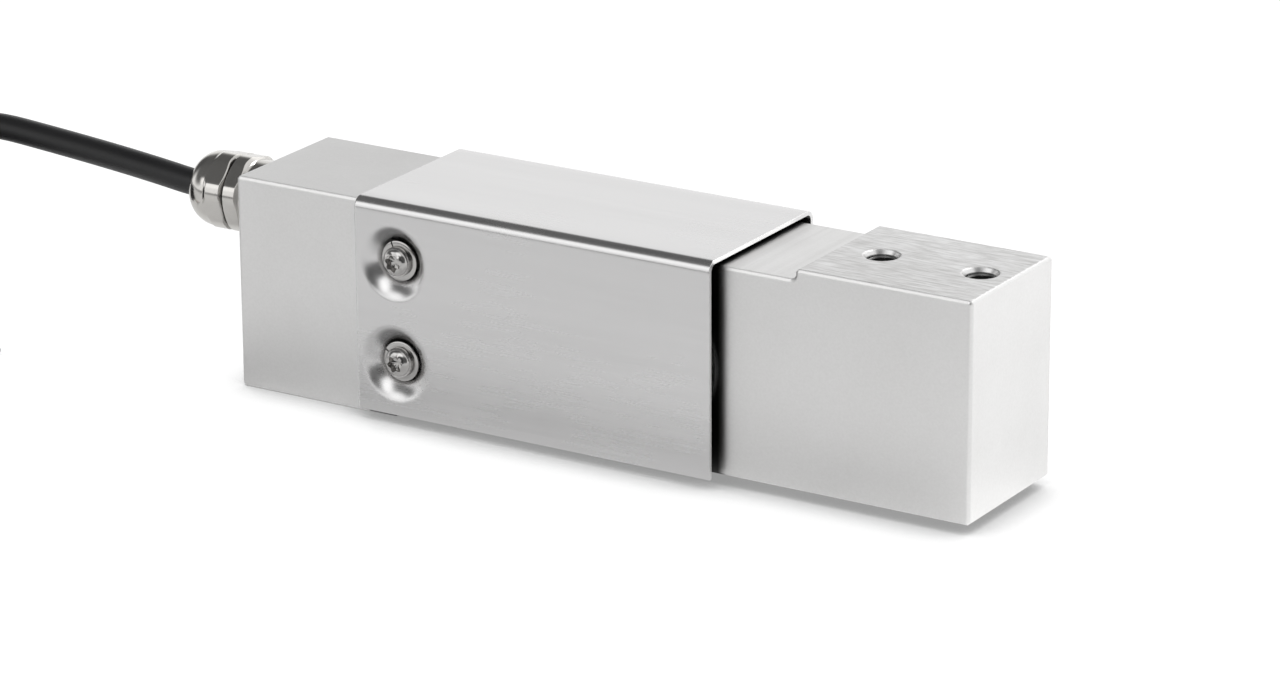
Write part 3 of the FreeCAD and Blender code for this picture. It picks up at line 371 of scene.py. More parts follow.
@dataclass(frozen=True)
class MachinedBar(Finish):
    """The bar's steel: each face has the marks of its own cutter, and narrow places have painted shade.

    The three lights are the shares of light left by the painted shade in the threaded holes, at the
    cover's end and at its start. The edges' normal is round over edge_radius, with its rise multiplied by
    edge_rise.
    """

    roughness: float
    contrast: float = 0.3
    cloud_scale: float = 45.0
    pad_level: float = 40.7
    recess_start: float = 60.0
    under_cover: float = 49.5
    hole_radius: float = 2.56
    edge_radius: float = 0.45
    edge_rise: float = 0.45
    mark_depth: float = 0.01
    level_darkening: float = 0.12
    hole_light: float = 0.26
    end_light: float = 0.06
    start_light: float = 0.3
    short: CutterMarks = CutterMarks((0.14, 1.0, 1.0), 1900.0, 3.0, 0.8)
    wide: CutterMarks = CutterMarks((0.05, 1.0, 1.0), 300.0, 2.0, 0.25)
    across: CutterMarks = CutterMarks((1.0, 0.02, 1.0), 700.0, 3.0, 0.2)
    fine: CutterMarks = CutterMarks((1.0, 1.0, 1.0), 2200.0, 3.0, 0.07)

    def marks(self, graph: Graph, level: Value, pad: Value, recess: Value) -> Value:
        """Cutter marks around zero: short along X on the pads, along Y in the recess, fine elsewhere.

        Args:
            graph: the material's graph.
            level: 1 where the surface faces up or down.
            pad: 1 at the load pad's height.
            recess: 1 between the cover and the pad.

        Returns:
            The height of the marks, without a unit.
        """
        on_pad = self.short.value(graph) + self.wide.value(graph)
        in_recess = self.across.value(graph)
        return level * (pad * on_pad + recess * in_recess) + self.fine.value(graph)

    def painted_shade_in_holes(self, x: Value, y: Value, z: Value) -> Value:
        """The share of light left by the painted shade in the threaded holes: the load end's, and the
        foot's below mid height.

        The distance from a hole's axis is the root of along squared and Y squared, where along is
        how far X is from half a bolt pitch on either side of an end's middle.

        Args:
            x: the place along the bar, in millimetres.
            y: the place across it.
            z: the height.

        Returns:
            A share between 0 and 1.
        """
        along = abs(abs(x).least(abs(x - SOLIDS.load_x)) - SOLIDS.bolt_pitch / 2)
        distance = (along * along + y * y) ** 0.5
        hole = distance.ramp(self.hole_radius, self.hole_radius + 0.15, self.hole_light, 1.0)
        foot_side = x.ramp(self.recess_start, self.recess_start - 1.0)
        upper = z.ramp(self.pad_level / 2, self.pad_level / 2 + 1.0)
        return (hole + upper * foot_side).least(1.0)

    def painted_shade_beside_cover(self, x: Value) -> Value:
        """The share of light left by the painted shadow on the bar beside the cover's two edges.

        Args:
            x: the place along the bar, in millimetres.

        Returns:
            A share between 0 and 1.
        """
        start, end = SOLIDS.cover_start, SOLIDS.cover_end
        after = x.ramp(end - 0.4, end + 1.6, self.end_light, 1.0)
        before = x.ramp(start - 0.25, start - 0.1, 1.0, self.start_light)
        middle = x.ramp(self.under_cover - 0.5, self.under_cover + 0.5)
        return middle * after + (1.0 - middle) * before

    def broken_edges(self, graph: Graph) -> Value:
        """A normal that is round at the edges and leans towards the upright faces there."""
        rounded = graph.node("ShaderNodeBevel", {"samples": 4}, {"Radius": self.edge_radius * MM})
        return graph.vector("NORMALIZE", graph.vector("MULTIPLY", rounded, (1.0, 1.0, self.edge_rise)))

    def shade(self, graph: Graph) -> None:
        """Marks and clouds shade the steel; the level faces are rougher than the upright ones, and darker
        outside the recess.

        Args:
            graph: the material's graph.
        """
        facing = graph.node("ShaderNodeTexCoord", output="Normal")
        level = abs(graph.part_of(facing, 2)).ramp(0.9, 0.98)
        place = graph.object_place((1.0 / MM, 1.0 / MM, 1.0 / MM))
        x, y, z = (graph.part_of(place, axis) for axis in range(3))
        pad = z.ramp(self.pad_level - 0.3, self.pad_level + 0.3)
        recess = x.ramp(self.recess_start, self.recess_start + 1.0) * (1.0 - pad)
        marks = self.marks(graph, level, pad, recess)
        clouds = graph.noise(graph.object_place(), self.cloud_scale, 4.0) - 0.5
        tone = marks + clouds * (0.1 + 0.16 * level)
        bright = 1.0 - level * (1.0 - recess) * self.level_darkening
        # painted shade in the threaded holes and beside the cover's edges; bright makes level faces
        # outside the recess darker
        light = self.painted_shade_in_holes(x, y, z) * self.painted_shade_beside_cover(x) * bright
        share = tone.ramp(-self.contrast, self.contrast)
        colour = graph.toned(share, self.colour, self.contrast)
        graph.surface(
            Base_Color=graph.mix(light, BLACK, colour),
            Metallic=1.0,
            Roughness=self.roughness + clouds * 0.1 + marks * 0.2 + level * 0.06,
            Normal=graph.bump(marks, self.mark_depth * MM, self.broken_edges(graph)),
        )


@dataclass(frozen=True)
class Plastic(Finish):
    """A moulded or extruded plastic or rubber with a fine skin."""

    roughness: float
    skin_scale: float = 1800.0
    skin_depth: float = 0.008
    clouds: float = 0.12

    def shade(self, graph: Graph) -> None:
        """The skin is a fine noise that dents; a wide noise changes the tone and the gloss.

        Args:
            graph: the material's graph.
        """
        skin = graph.noise(graph.object_place(), self.skin_scale, 2.0)
        wide = graph.noise(graph.object_place(), 90.0, 3.0)
        graph.surface(
            Base_Color=graph.toned(wide.ramp(0.25, 0.75), self.colour, self.clouds),
            Roughness=self.roughness + 0.12 * (wide - 0.5),
            Normal=graph.bump(skin, self.skin_depth * MM),
        )


@dataclass(frozen=True)
class GaugeFilm(Finish):
    """Amber film with the fine metal lines of a strain gauge under it."""

    line_pitch: float = 0.5
    half_width: float = 2.8
    line_colour: Colour = (0.35, 0.3, 0.24)

    def shade(self, graph: Graph) -> None:
        """Lines are a sine of the distance across the bar, kept inside a margin.

        Args:
            graph: the material's graph.
        """
        across = graph.part_of(graph.object_place(), 1)
        turns = across * (2.0 * math.pi / (self.line_pitch * MM))
        wave = graph.node("ShaderNodeMath", {"operation": "SINE"}, {0: turns})
        inside = 1.0 - abs(across).ramp((self.half_width - 0.1) * MM, (self.half_width + 0.1) * MM)
        lines = wave.ramp(-0.1, 0.3) * inside
        graph.surface(
            Base_Color=graph.mix(lines, rgba(self.colour), rgba(self.line_colour)),
            Metallic=lines * 0.8,
            Roughness=0.3,
            Coat_Weight=0.5,
        )


# Meshes


def in_scene(name: str, data: bpy.types.ID) -> bpy.types.Object:
    """A new object in the scene.

    Args:
        name: the object's name.
        data: its mesh, curve, camera or light.

    Returns:
        The object, at the origin and unturned.
    """
    made = bpy.data.objects.new(name, data)
    bpy.context.scene.collection.objects.link(made)
    return made


def grid_faces(rows: int, columns: int, close_rows: bool, close_columns: bool) -> np.ndarray:
    """The quads of a grid of points.

    Args:
        rows: points along the first parameter.
        columns: points along the second one.
        close_rows: whether the last row meets the first.
        close_columns: whether the last column meets the first.

    Returns:
        Four point numbers for each quad.
    """
    i, j = np.meshgrid(
        np.arange(rows if close_rows else rows - 1),
        np.arange(columns if close_columns else columns - 1),
        indexing="ij",
    )
    down, right = (i + 1) % rows, (j + 1) % columns
    corners = (i * columns + j, down * columns + j, down * columns + right, i * columns + right)
    return np.stack(corners, axis=-1).reshape(-1, 4)


class Shape:
    """Patches of surface that are gathered, welded and made into one piece."""

    def __init__(self) -> None:
        """Start with nothing."""
        self.points: list[np.ndarray] = []
        self.faces: list[np.ndarray] = []
        self.count = 0

    def add(
        self,
        points: np.ndarray,
        close_rows: bool = False,
        close_columns: bool = False,
        keep: np.ndarray | None = None,
    ) -> Shape:
        """Add a grid of points.

        Args:
            points: rows by columns by 3, in millimetres.
            close_rows: whether the last row meets the first.
            close_columns: whether the last column meets the first.
            keep: which quads stay, rows by columns of quads; all of them if None.

        Returns:
            This shape.
        """
        rows, columns = points.shape[:2]
        faces = grid_faces(rows, columns, close_rows, close_columns)
        if keep is not None:
            faces = faces[keep.reshape(-1)]
        self.points.append(points.reshape(-1, 3))
        self.faces.append(faces + self.count)
        self.count += rows * columns
        return self

    def piece(self, name: str, sharp: float = 40.0) -> bpy.types.Object:
        """Weld the patches and make the object, its faces outwards and its highest face up.

        Args:
            name: the piece's name.
            sharp: edges that turn by more than this many degrees stay sharp.

        Returns:
            The object, at the origin and unturned.
        """
        mesh = bpy.data.meshes.new(name)
        points = np.concatenate(self.points) * MM
        mesh.from_pydata(points.tolist(), [], np.concatenate(self.faces).tolist())
        work = bmesh.new()
        work.from_mesh(mesh)
        bmesh.ops.remove_doubles(work, verts=work.verts, dist=1e-7)
        loose = [vert for vert in work.verts if not vert.link_faces]
        bmesh.ops.delete(work, geom=loose, context="VERTS")
        bmesh.ops.recalc_face_normals(work, faces=work.faces)
        highest = max(work.faces, key=lambda face: face.calc_center_median().z)
        if highest.normal.z < 0.0:
            bmesh.ops.reverse_faces(work, faces=work.faces)
        work.to_mesh(mesh)
        work.free()
        mesh.shade_smooth()
        mesh.set_sharp_from_angle(angle=math.radians(sharp))
        return in_scene(name, mesh)


def settle(
    piece: bpy.types.Object, finish: bpy.types.Material, slot: str, *nodes: str
) -> bpy.types.Object:
    """Dress a piece, let it ride on the part and say which nodes it stands for.

    Args:
        piece: the new piece.
        finish: its material.
        slot: the record's material slot; not used.
        nodes: the CAD nodes that it replaces.

    Returns:
        The piece.
    """
    piece.data.materials.clear()
    piece.data.materials.append(finish)
    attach(piece, ROOT)
    if nodes:
        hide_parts(*nodes)
    LOG.info("%s stands for %s", piece.name, ", ".join(nodes) or "itself")
    return piece


def full_circle(count: int) -> np.ndarray:
    """Evenly spaced angles of a whole turn, without the repeated last one."""
    return np.linspace(0.0, 2.0 * np.pi, count, endpoint=False)


def dense(corners: list[tuple[float, float]], step: float) -> np.ndarray:
    """A polyline with points about a step apart, its corners kept.

    Args:
        corners: the polyline's corners.
        step: the wanted distance.

    Returns:
        Points by 2.
    """
    line = np.array(corners, float)
    lengths = np.linalg.norm(np.diff(line, axis=0), axis=1)
    counts = np.maximum(1, np.ceil(lengths / step)).astype(int)
    runs = [
        start + (end - start) * np.linspace(0.0, 1.0, count, endpoint=False)[:, None]
        for start, end, count in zip(line, line[1:], counts)
    ]
    return np.concatenate([*runs, line[-1:]])


def along(path: np.ndarray, radii: np.ndarray, sides: int) -> np.ndarray:
    """A round tube: circles of the given radii square to the path, their first points level.

    Args:
        path: points by 3.
        radii: a radius for each point.
        sides: points round each circle.

    Returns:
        Path points by sides by 3.
    """
    ahead = np.gradient(path, axis=0)
    ahead /= np.linalg.norm(ahead, axis=1, keepdims=True)
    level = np.cross(ahead, (0.0, 0.0, 1.0))
    level /= np.linalg.norm(level, axis=1, keepdims=True)
    above = np.cross(level, ahead)
    angles = full_circle(sides)[None, :, None]
    ring = np.cos(angles) * level[:, None] + np.sin(angles) * above[:, None]
    return path[:, None] + radii[:, None, None] * ring


# The cable


@dataclass
class Cable:
    """The screened cable: out of the gland, into a tied hank, to its stripped and crimped end."""

    diameter: float = 5.0
    length: float = 2730.0
    core_diameter: float = 1.1
    core_ring: float = 1.1
    core_root: float = 2.0
    core_sides: int = 16
    ferrule_radius: float = 0.85
    pin_radius: float = 0.42
    pin_end: float = 7.0
    crimp_pitch: float = 0.9
    crimp_depth: float = 0.035
    fold: float = 15.0
    run: float = 80.0
    layers: int = 5
    lowest_layer: float = 3.7
    tail_height: float = 2.5
    near_end: float = -115.0
    middle_y: float = -9.8
    exit: Point = (-33.8, 0.0, 31.5)
    way: tuple[Point, ...] = (
        (-31.925, 0.0, 31.5),
        (-35.8, 0.0, 31.5),
        (-42.5, 0.35, 32.2),
        (-54.0, 1.7, 32.8),
        (-70.0, 3.6, 33.3),
        (-89.0, 5.5, 33.8),
        (-109.0, 6.0, 29.5),
        (-127.0, 5.2, 23.7),
        (-142.0, 5.2, 23.7),
    )
    ends: tuple[tuple[str, str, float], ...] = (
        ("core_red", "core_insulation_red", 162.0),
        ("core_black", "core_insulation_black", 234.0),
        ("core_green", "core_insulation_green", 90.0),
        ("core_white", "core_insulation_white", 306.0),
        ("core_screen", "core_insulation_clear", 18.0),
    )

    def hank(self) -> np.ndarray:
        """Control points of the folded cable: two rows of turns, five layers high.

        A turn has six points round each fold, 30 degrees apart on a circle a little larger than
        the fold, and two more on each straight run, as far past the fold's end as its last point
        is before it. The row and the layer change round the near fold: the cable goes from the
        inner row to the outer one, down a layer, from the outer to the inner, and down again.
        The numbers bend and past are the cosine and the tangent of 15 degrees, half that step.

        Returns:
            Points by 3, from the end of the cable's way to the start of its tail.
        """
        bend, past = 0.966, 0.268
        fold = np.radians(np.arange(-75.0, 76.0, 30.0))
        ahead, across = np.cos(fold) / bend, np.sin(fold) / bend
        ahead = np.concatenate([[-past, past], -ahead, [past, -past], ahead])
        across = np.concatenate([[1.0, 1.0], -across, [-1.0, -1.0], across])
        far = np.repeat([0.0, 1.0, 0.0], [1, 8, 7])
        step = np.concatenate([np.zeros(10), np.arange(1, 7) / 7.0])
        turn = np.arange(2 * self.layers)[:, None]
        row = np.array([0.0, 1.0, 1.0, 0.0])
        outer = row[turn % 4] * (1.0 - step) + row[(turn + 1) % 4] * step
        layer = turn // 2 * (1.0 - step) + (turn + 1) // 2 * step
        radius = self.fold + self.diameter * outer
        x = self.near_end - self.run * far + radius * ahead
        y = self.middle_y + radius * across
        z = self.lowest_layer + self.diameter * (self.layers - 1 - layer)
        return np.stack([x, y, z], axis=-1).reshape(-1, 3)[1 : -len(fold)]

    def tail(self) -> tuple[Point, ...]:
        """The last stretch, from under the hank along the floor, by given points.

        Returns:
            Its control points.
        """
        x, y = self.near_end, self.middle_y - self.fold - self.diameter
        return (
            (x + 4.0, y, self.lowest_layer),
            (x + 9.0, y + 0.3, 0.58 * self.lowest_layer + 0.42 * self.tail_height),
            (x + 14.0, y + 0.6, self.tail_height),
            (x + 19.0, y + 0.6, self.tail_height),
        )

    def line(self, name: str, points: np.ndarray, radius: float) -> bpy.types.Object:
        """A smooth round cord through one NURBS spline.

        Args:
            name: the curve's name.
            points: its control points.
            radius: its radius, or 0 for the bare line.

        Returns:
            The curve's object.
        """
        data = bpy.data.curves.new(name, "CURVE")
        data.dimensions = "3D"
        spline = data.splines.new("NURBS")
        spline.points.add(len(points) - 1)
        weighted = np.column_stack([np.asarray(points) * MM, np.ones(len(points))])
        spline.points.foreach_set("co", weighted.reshape(-1).astype(np.float32))
        spline.order_u = 3
        spline.use_endpoint_u = True
        data.resolution_u = 8
        data.bevel_depth = radius * MM
        data.bevel_resolution = 7
        data.use_fill_caps = radius > 0.0
        return in_scene(name, data)

    def smooth_path(self, points: np.ndarray) -> np.ndarray:
        """Points read from the smooth line of a route, in millimetres.

        Args:
            points: the route's control points.

        Returns:
            Points by 3.
        """
        guide = self.line("guide", points, 0.0)
        mesh = bpy.data.meshes.new_from_object(guide)
        places = np.empty(len(mesh.vertices) * 3, np.float32)
        mesh.vertices.foreach_get("co", places)
        bpy.data.objects.remove(guide)
        bpy.data.meshes.remove(mesh)
        return places.reshape(-1, 3).astype(float) / MM

    def core_way(self, number: int, start_angle: float) -> np.ndarray:
        """The route of one core, fanned out along the floor.

        Args:
            number: its place in the fan, from 0.
            start_angle: where it leaves the jacket, in degrees.

        Returns:
            Points by 3, given about the tail's end.
        """
        x, y, z = self.tail()[-1]
        across = self.core_ring * math.cos(math.radians(start_angle))
        up = self.core_ring * math.sin(math.radians(start_angle))
        spread, low = number - 2, self.ferrule_radius + 0.05
        return np.array(
            [
                (x, y + across, z + up),
                (x + 4.0, y + across, z + up),
                (x + 10.5, y + 0.6 * across + 0.9 * spread, low + 0.3 * (z + up - low)),
                (x + 18.0 + number % 2, y + 1.7 * spread, low),
                (x + 26.0 - abs(spread) / 2, y + 2.2 * spread, low),
            ]
        )

    def core(self, number: int, name: str, start_angle: float) -> tuple[bpy.types.Object, np.ndarray]:
        """One insulated core, from inside the jacket, and the frame of its end.

        Args:
            number: its place in the fan.
            name: its node's name.
            start_angle: where it leaves the jacket, in degrees.

        Returns:
            The core, and its end point and direction.
        """
        path = self.smooth_path(self.core_way(number, start_angle))
        path = np.concatenate([path[:1] - (self.core_root, 0.0, 0.0), path])
        sides = self.core_sides
        tube = along(path, np.full(len(path), self.core_diameter / 2), sides)
        first, last = (np.repeat(end[None, None], sides, axis=1) for end in (path[0], path[-1]))
        made = Shape().add(np.concatenate([first, tube, last]), close_columns=True)
        ahead = path[-1] - path[-2]
        return made.piece(f"{name}_insulation"), np.stack([path[-1], ahead / np.linalg.norm(ahead)])

    def ferrule(self, end: np.ndarray) -> np.ndarray:
        """A funnel and a crimped pin: radii along the core's direction, with crimp rings.

        Args:
            end: the core's end point and direction.

        Returns:
            Stations by sides by 3.
        """
        wide, pin, sides = self.ferrule_radius, self.pin_radius, 24
        funnel = [(0.0, 0.0), (0.0, 0.73 * wide), (0.1, wide), (1.6, wide), (2.2, pin)]
        stations = dense([*funnel, (self.pin_end, pin), (self.pin_end, 0.0)], 0.1)
        reach, radii = stations[:, 0], stations[:, 1]
        crimped = (reach > 2.6) & (reach < self.pin_end - 0.6)
        rings = self.crimp_depth * np.cos(reach * 2.0 * np.pi / self.crimp_pitch)
        radii = radii + np.where(crimped, rings, 0.0)
        path = end[0] + end[1] * reach[:, None]
        ring = along(np.stack([end[0], end[0] + end[1]]), np.ones(2), sides)[0] - end[0]
        return path[:, None] + radii[:, None, None] * ring[None]

    def build(self, finishes: dict[str, bpy.types.Material]) -> list[bpy.types.Object]:
        """Make the cable and everything on it.

        Args:
            finishes: materials by slot.

        Returns:
            The pieces.
        """
        route = np.concatenate([np.array(self.way), self.hank(), np.array(self.tail())])
        jacket = self.line("cable", route, self.diameter / 2)
        jacket_nodes = ("cable_run", "cable_hank", "cable_tail")
        settle(jacket, finishes["cable_jacket"], "cable_jacket", *jacket_nodes)
        pieces, ends = [], Shape()
        for number, (name, slot, start_angle) in enumerate(self.ends):
            core, end = self.core(number, name, start_angle)
            pieces.append(settle(core, finishes[slot], slot, name))
            ends.add(self.ferrule(end), close_columns=True)
        pins = ends.piece("wire_pins", 30.0)
        settle(pins, finishes["tinned_ferrule"], "tinned_ferrule", "core_ferrules")
        return [jacket, pins, *pieces]


# The folded cover


@dataclass
class Cover:
    """The folded sheet over the flexure, with a dish pressed in round each of its screws."""

    sheet: float = 0.8
    start: float = SOLIDS.cover_start
    end: float = SOLIDS.cover_end
    side: float = SOLIDS.cover_side
    top: float = 41.3
    bottom: float = 1.8
    bend: float = 2.0
    screw_x: float = SOLIDS.screw_x
    screw_heights: tuple[float, float] = SOLIDS.screw_heights
    dish_rim: float = 7.4
    dish_seat: float = 3.75
    dish_depth: float = SOLIDS.dish_depth
    dish_power: float = 1.8
    hole: float = 1.7
    broken_edge: float = 0.1
    patch: float = 7.8
    patch_lines: int = 40

    def lines(self, stops: list[tuple[float, int]]) -> np.ndarray:
        """Places along one direction.

        Args:
            stops: places, each with the number of even steps that follow it.

        Returns:
            The places of all steps.
        """
        values = [
            np.linspace(low, high, count, endpoint=False)
            for (low, count), (high, _) in zip(stops, stops[1:])
        ]
        return np.concatenate([*values, [stops[-1][0]]])

    def sheet_grid(self, shape: Shape) -> None:
        """The channel's outer face: X along the bar, and the way up, over and down the sheet.

        Up each side Y is constant, round each bend the way is a quarter circle, and over the top
        Z is constant. Squares round the screws are left open for the dishes.

        Args:
            shape: what the patch goes to.
        """
        half, count = self.patch, self.patch_lines
        xs = self.lines(
            [(self.start, 3), (self.screw_x - half, count), (self.screw_x + half, 28), (self.end, 0)]
        )
        low, high = self.screw_heights
        up = self.lines(
            [
                (self.bottom, 4),
                (low - half, count),
                (low + half, 8),
                (high - half, count),
                (high + half, 4),
                (self.top - self.bend, 0),
            ]
        )
        turn = np.linspace(0.0, np.pi / 2, 11)[1:]
        inner = self.side - self.bend
        bend_y = self.side - self.bend * (1.0 - np.cos(turn))
        bend_z = self.top - self.bend * (1.0 - np.sin(turn))
        over = np.linspace(inner, -inner, 17)[1:-1]
        wall = np.full(len(up), self.side)
        y = np.concatenate([wall, bend_y, over, -bend_y[::-1], -wall])
        z = np.concatenate([up, bend_z, np.full(len(over), self.top), bend_z[::-1], up[::-1]])
        points = np.stack(np.broadcast_arrays(xs[:, None], y[None], z[None]), axis=-1)
        middle_x = (xs[1:] + xs[:-1]) / 2
        middle_y, middle_z = (y[1:] + y[:-1]) / 2, (z[1:] + z[:-1]) / 2
        near_x = np.abs(middle_x - self.screw_x) < half
        near_z = np.any([np.abs(middle_z - height) < half for height in (low, high)], axis=0)
        open_here = near_x[:, None] & (near_z & (np.abs(middle_y) > self.side - 0.01))[None]
        shape.add(points, keep=~open_here)

    def dish(self, shape: Shape, side: int, height: float) -> None:
        """One dish: from its square border to a circle, down a hollow curve, to a flat seat.

        The curve is depth = full depth * (1 - s)^power, where s goes from 0 at the seat to 1 at the
        rim, so it is steep beside the washer and runs out into the flat sheet.

        Args:
            shape: what the patch goes to.
            side: 1 for the far side, -1 for the near one.
            height: the screw's height.
        """
        edge = np.linspace(-self.patch, self.patch, self.patch_lines, endpoint=False)
        low, full = np.full(self.patch_lines, -self.patch), np.full(self.patch_lines, self.patch)
        border = np.concatenate(
            [np.stack(pair, -1) for pair in ((edge, low), (full, edge), (-edge, full), (low, -edge))]
        )
        angles = np.arctan2(border[:, 1], border[:, 0])
        round_border = np.stack([np.cos(angles), np.sin(angles)], -1)
        away = np.linspace(1.0, 0.0, 25)
        reach = self.dish_seat + (self.dish_rim - self.dish_seat) * away
        depth = self.dish_depth * (1.0 - away) ** self.dish_power
        seat_r = np.linspace(self.dish_seat, self.hole, 5)[1:]
        reach = np.concatenate([reach, seat_r])
        depth = np.concatenate([depth, np.full(len(seat_r), self.dish_depth)])
        share = np.linspace(0.0, 1.0, 5)[:-1, None, None]
        flat = border[None] * (1.0 - share) + self.dish_rim * round_border[None] * share
        rings = np.concatenate([flat, reach[:, None, None] * round_border[None]])
        sunk = np.concatenate([np.zeros(len(flat)), depth])
        y = side * (self.side - sunk)
        points = np.stack(
            [
                self.screw_x + rings[..., 0],
                np.broadcast_to(y[:, None], rings.shape[:2]),
                height + rings[..., 1],
            ],
            axis=-1,
        )
        shape.add(points[:, ::side], close_columns=True)

    def build(self, finishes: dict[str, bpy.types.Material]) -> list[bpy.types.Object]:
        """Make the cover with its thickness and broken edges.

        Args:
            finishes: materials by slot.

        Returns:
            The piece.
        """
        shape = Shape()
        self.sheet_grid(shape)
        for side in (-1, 1):
            for height in self.screw_heights:
                self.dish(shape, side, height)
        cover = shape.piece("folded_cover", 60.0)
        wall = cover.modifiers.new("wall", "SOLIDIFY")
        wall.thickness = self.sheet * MM
        wall.offset = -1.0
        wall.use_even_offset = True
        edge = cover.modifiers.new("edge", "BEVEL")
        edge.width = self.broken_edge * MM
        edge.segments = 2
        edge.limit_method = "ANGLE"
        edge.angle_limit = math.radians(55.0)
        edge.harden_normals = True
        return [settle(cover, finishes["sheet_steel"], "sheet_steel", "protective_cover")]


# Screws and washers


@dataclass
class CoverScrews:
    """Four domed screws with six lobed sockets, each on a split spring washer."""

    x: float = SOLIDS.screw_x
    heights: tuple[float, float] = SOLIDS.screw_heights
    seat: float = SOLIDS.cover_side - SOLIDS.dish_depth
    head_radius: float = 2.75
    head_height: float = 2.1
    rim_share: float = 0.25
    shank: float = 1.25
    shank_length: float = 8.0
    socket_radius: float = 1.36
    socket_wave: float = 0.2
    socket_depth: float = 1.4
    washer_radius: float = 3.7
    washer_hole: float = 1.75
    washer_height: float = 0.8
    washer_gap: float = 0.07
    washer_rise: float = 0.22
    washer_turns: tuple[float, ...] = (150.0, 115.0, 40.0, 200.0)
    head_turns: tuple[float, ...] = (12.0, 41.0, 25.0, 3.0)

    def placed(self, points: np.ndarray, side: int, height: float, turn: float, rise: float) -> np.ndarray:
        """Points of an upright part, turned to point out of one side of the bar.

        Args:
            points: the part about its own axis.
            side: 1 for the far side, -1 for the near one.
            height: the screw's height.
            turn: turn about the screw's axis, in degrees.
            rise: where the part begins over the cover's seat.

        Returns:
            The placed points.
        """
        spin = math.radians(turn)
        x = points[..., 0] * math.cos(spin) - points[..., 1] * math.sin(spin)
        up = points[..., 0] * math.sin(spin) + points[..., 1] * math.cos(spin)
        y = side * (self.seat + rise + points[..., 2])
        return np.stack([self.x + x, y, height + up], axis=-1)

    def crown(self, reach: np.ndarray) -> np.ndarray:
        """The head's height at a distance from its axis: a squarish oval over a straight rim.

        It is full height * (rim share + (1 - rim share) * (1 - (r / R)^3)^(1 / 2)).

        Args:
            reach: distances from the axis.

        Returns:
            A height for each distance.
        """
        oval = np.sqrt(1.0 - (reach / self.head_radius) ** 3)
        return self.head_height * (self.rim_share + (1.0 - self.rim_share) * oval)

    def screw(self) -> np.ndarray:
        """A turned head whose socket's radius rises and falls six times in a turn.

        A station of the socket is a share of its radius, a height, and how much it has of the
        six lobes. A station outside it is a radius and a height.

        Returns:
            Stations by sides by 3.
        """
        reach = self.head_radius * np.sin(np.linspace(0.0, np.pi / 2, 22))
        reach = reach[reach > self.socket_radius + self.socket_wave + 0.2]
        rim_z = float(self.crown(np.array(self.socket_radius)))
        floor = self.head_height - self.socket_depth
        inside = np.array(
            [
                (0.0, floor - 0.25, 0.0),
                (0.55, floor - 0.1, 0.6),
                (0.92, floor, 1.0),
                (0.96, floor + 0.05, 1.0),
                (1.0, rim_z - 0.1, 1.0),
                (1.03, rim_z - 0.02, 1.0),
                (1.1, rim_z, 1.0),
            ]
        )
        outside = np.concatenate(
            [
                np.stack([reach, self.crown(reach)], -1),
                dense([(self.head_radius, 0.2), (self.head_radius - 0.12, 0.0), (self.shank, 0.0)], 0.3),
                dense([(self.shank, -0.2), (self.shank, 0.3 - self.shank_length)], 0.6),
                np.array([(0.8, -self.shank_length), (0.0, -self.shank_length)]),
            ]
        )
        angles = full_circle(72)
        lobed = self.socket_radius + self.socket_wave * np.cos(6.0 * angles)
        steady = np.full(len(angles), self.socket_radius)
        wave = inside[:, 2:3] * lobed + (1.0 - inside[:, 2:3]) * steady
        radii = np.concatenate([inside[:, :1] * wave, outside[:, :1] + 0.0 * angles])
        heights = np.concatenate([inside[:, 1], outside[:, 1]])[:, None] + 0.0 * angles
        return np.stack([radii * np.cos(angles), radii * np.sin(angles), heights], axis=-1)

    def washer(self) -> np.ndarray:
        """A rounded square section carried round an open ring that rises a little.

        The section is an oval of the sixth power, at the distance
        (|cos a|^6 + |sin a|^6)^(-1 / 6) from its middle, stretched to the washer's wire.

        Returns:
            Stations by section points by 3, closed to a point at both ends.
        """
        angles = np.linspace(self.washer_gap, 2.0 * np.pi - self.washer_gap, 97)
        corner = full_circle(20)
        bulge = (np.abs(np.cos(corner)) ** 6 + np.abs(np.sin(corner)) ** 6) ** (-1.0 / 6.0)
        half_wide = (self.washer_radius - self.washer_hole) / 2
        middle = (self.washer_radius + self.washer_hole) / 2
        wide = half_wide * bulge * np.cos(corner)
        tall = self.washer_height / 2 * bulge * np.sin(corner)
        scale = np.concatenate([[0.0, 0.9], np.ones(len(angles)), [0.9, 0.0]])[:, None]
        angles = np.concatenate([[angles[0]] * 2, angles, [angles[-1]] * 2])[:, None]
        reach = middle + wide * scale
        lift = self.washer_rise * (angles / np.pi - 1.0) / 2
        height = self.washer_height / 2 + 0.05 + tall * scale * 0.86 + lift
        return np.stack([reach * np.cos(angles), reach * np.sin(angles), height], axis=-1)

    def build(self, finishes: dict[str, bpy.types.Material]) -> list[bpy.types.Object]:
        """Make the screws and the washers.

        Args:
            finishes: materials by slot.

        Returns:
            The two pieces.
        """
        heads, rings = Shape(), Shape()
        stations = [(side, height) for side in (-1, 1) for height in self.heights]
        for (side, height), head, ring in zip(stations, self.head_turns, self.washer_turns):
            heads.add(
                self.placed(self.screw(), side, height, head, self.washer_height), close_columns=True
            )
            rings.add(self.placed(self.washer(), side, height, ring, 0.0), close_columns=True)
        finish = finishes["screw_steel"]
        return [
            settle(heads.piece("screw_heads", 35.0), finish, "screw_steel", "cover_screws"),
            settle(rings.piece("spring_washers", 50.0), finish, "screw_steel", "screw_washers"),
        ]


# The gland


